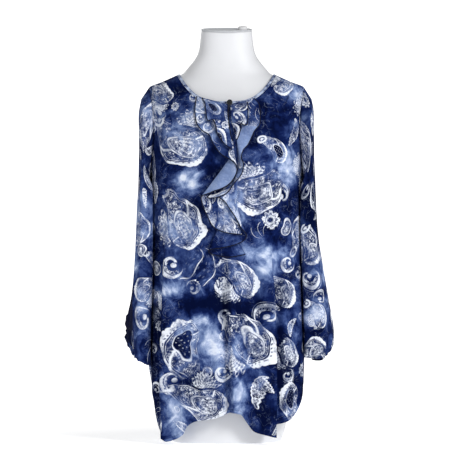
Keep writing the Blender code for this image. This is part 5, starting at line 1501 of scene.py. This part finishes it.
def ring_surface(name, profile, glow_near, glow_far, strength):
    """A glowing surface turned round the upright axis, from its radii and heights."""
    turns = 2.0 * np.pi * np.arange(SURFACE_SIDES) / SURFACE_SIDES
    points = [(radius * math.cos(t), radius * math.sin(t), height)
              for radius, height in profile for t in turns]
    quads = grid_quads(len(profile), SURFACE_SIDES, closed=True, flip=True)[0]
    mesh = bpy.data.meshes.new(name)
    mesh.from_pydata(points, [], quads.tolist())
    mesh.shade_smooth()
    material, tree, shader, place = new_material(name, 0.8, specular=0.2)
    stops = [(0.3, tuple(0.99 * part for part in FLOOR_WHITE)), (0.7, FLOOR_WHITE)]
    colour = colour_ramp(tree, noise_mark(tree, place, 2.0), stops)
    tree.links.new(colour, shader.inputs["Base Color"])
    parts = tree.nodes.new("ShaderNodeSeparateXYZ")
    tree.links.new(place, parts.inputs[0])
    x, y = Mark(tree, parts.outputs["X"]), Mark(tree, parts.outputs["Y"])
    far = distance(x, y).above(0.75, 0.8)
    glow = colour_ramp(tree, far, [(0.0, (glow_near,) * 3), (1.0, (glow_far,) * 3)])
    tree.links.new(glow, shader.inputs["Emission Color"])
    shader.inputs["Emission Strength"].default_value = strength
    mesh.materials.append(material)
    surface = bpy.data.objects.new(name, mesh)
    bpy.context.scene.collection.objects.link(surface)
    return surface


floor_rings = [(radius, 0.0) for radius in (0.001, 0.6, 1.2, 1.8, FLOOR_RADIUS)]
floor = ring_surface("studio_floor", floor_rings, FLOOR_GLOW, 1.0, 1.0)
backdrop_rings = [(FLOOR_RADIUS, 0.0), (5.0, 0.0), (BACKDROP_RADIUS - 1.0, 0.0),
                  (BACKDROP_RADIUS - 0.3, 0.3), (BACKDROP_RADIUS, 1.0), (BACKDROP_RADIUS, 8.0)]
backdrop = ring_surface("studio_backdrop", backdrop_rings, 1.0, 1.0, BACKDROP_STRENGTH)
backdrop.visible_diffuse = backdrop.visible_glossy = backdrop.visible_shadow = False
surroundings = bpy.data.worlds.new("surroundings")
surroundings.use_nodes = True
sky = surroundings.node_tree.nodes["Background"]
sky.inputs["Color"].default_value = (1.0, 1.0, 1.0, 1.0)
sky.inputs["Strength"].default_value = SURROUNDINGS_STRENGTH
bpy.context.scene.world = surroundings
bpy.context.scene.view_settings.view_transform = "Standard"


def soft_light(name, place, aim, size, power):
    data = bpy.data.lights.new(name, "AREA")
    data.shape = "SQUARE"
    data.size = size
    data.energy = power
    light = bpy.data.objects.new(name, data)
    light.location = place
    light.rotation_euler = (Vector(aim) - Vector(place)).to_track_quat("-Z", "Y").to_euler()
    light.visible_camera = False
    bpy.context.scene.collection.objects.link(light)


soft_light("key", (1.8, -2.5, 2.0), (0.0, 0.0, 0.5), 0.8, 62.0)
soft_light("fill", (-2.0, -3.0, 1.0), (0.0, 0.0, 0.45), 2.0, 12.0)
soft_light("back_fill", (-1.4, 3.2, 2.2), (0.0, 0.0, 0.5), 2.4, 34.0)
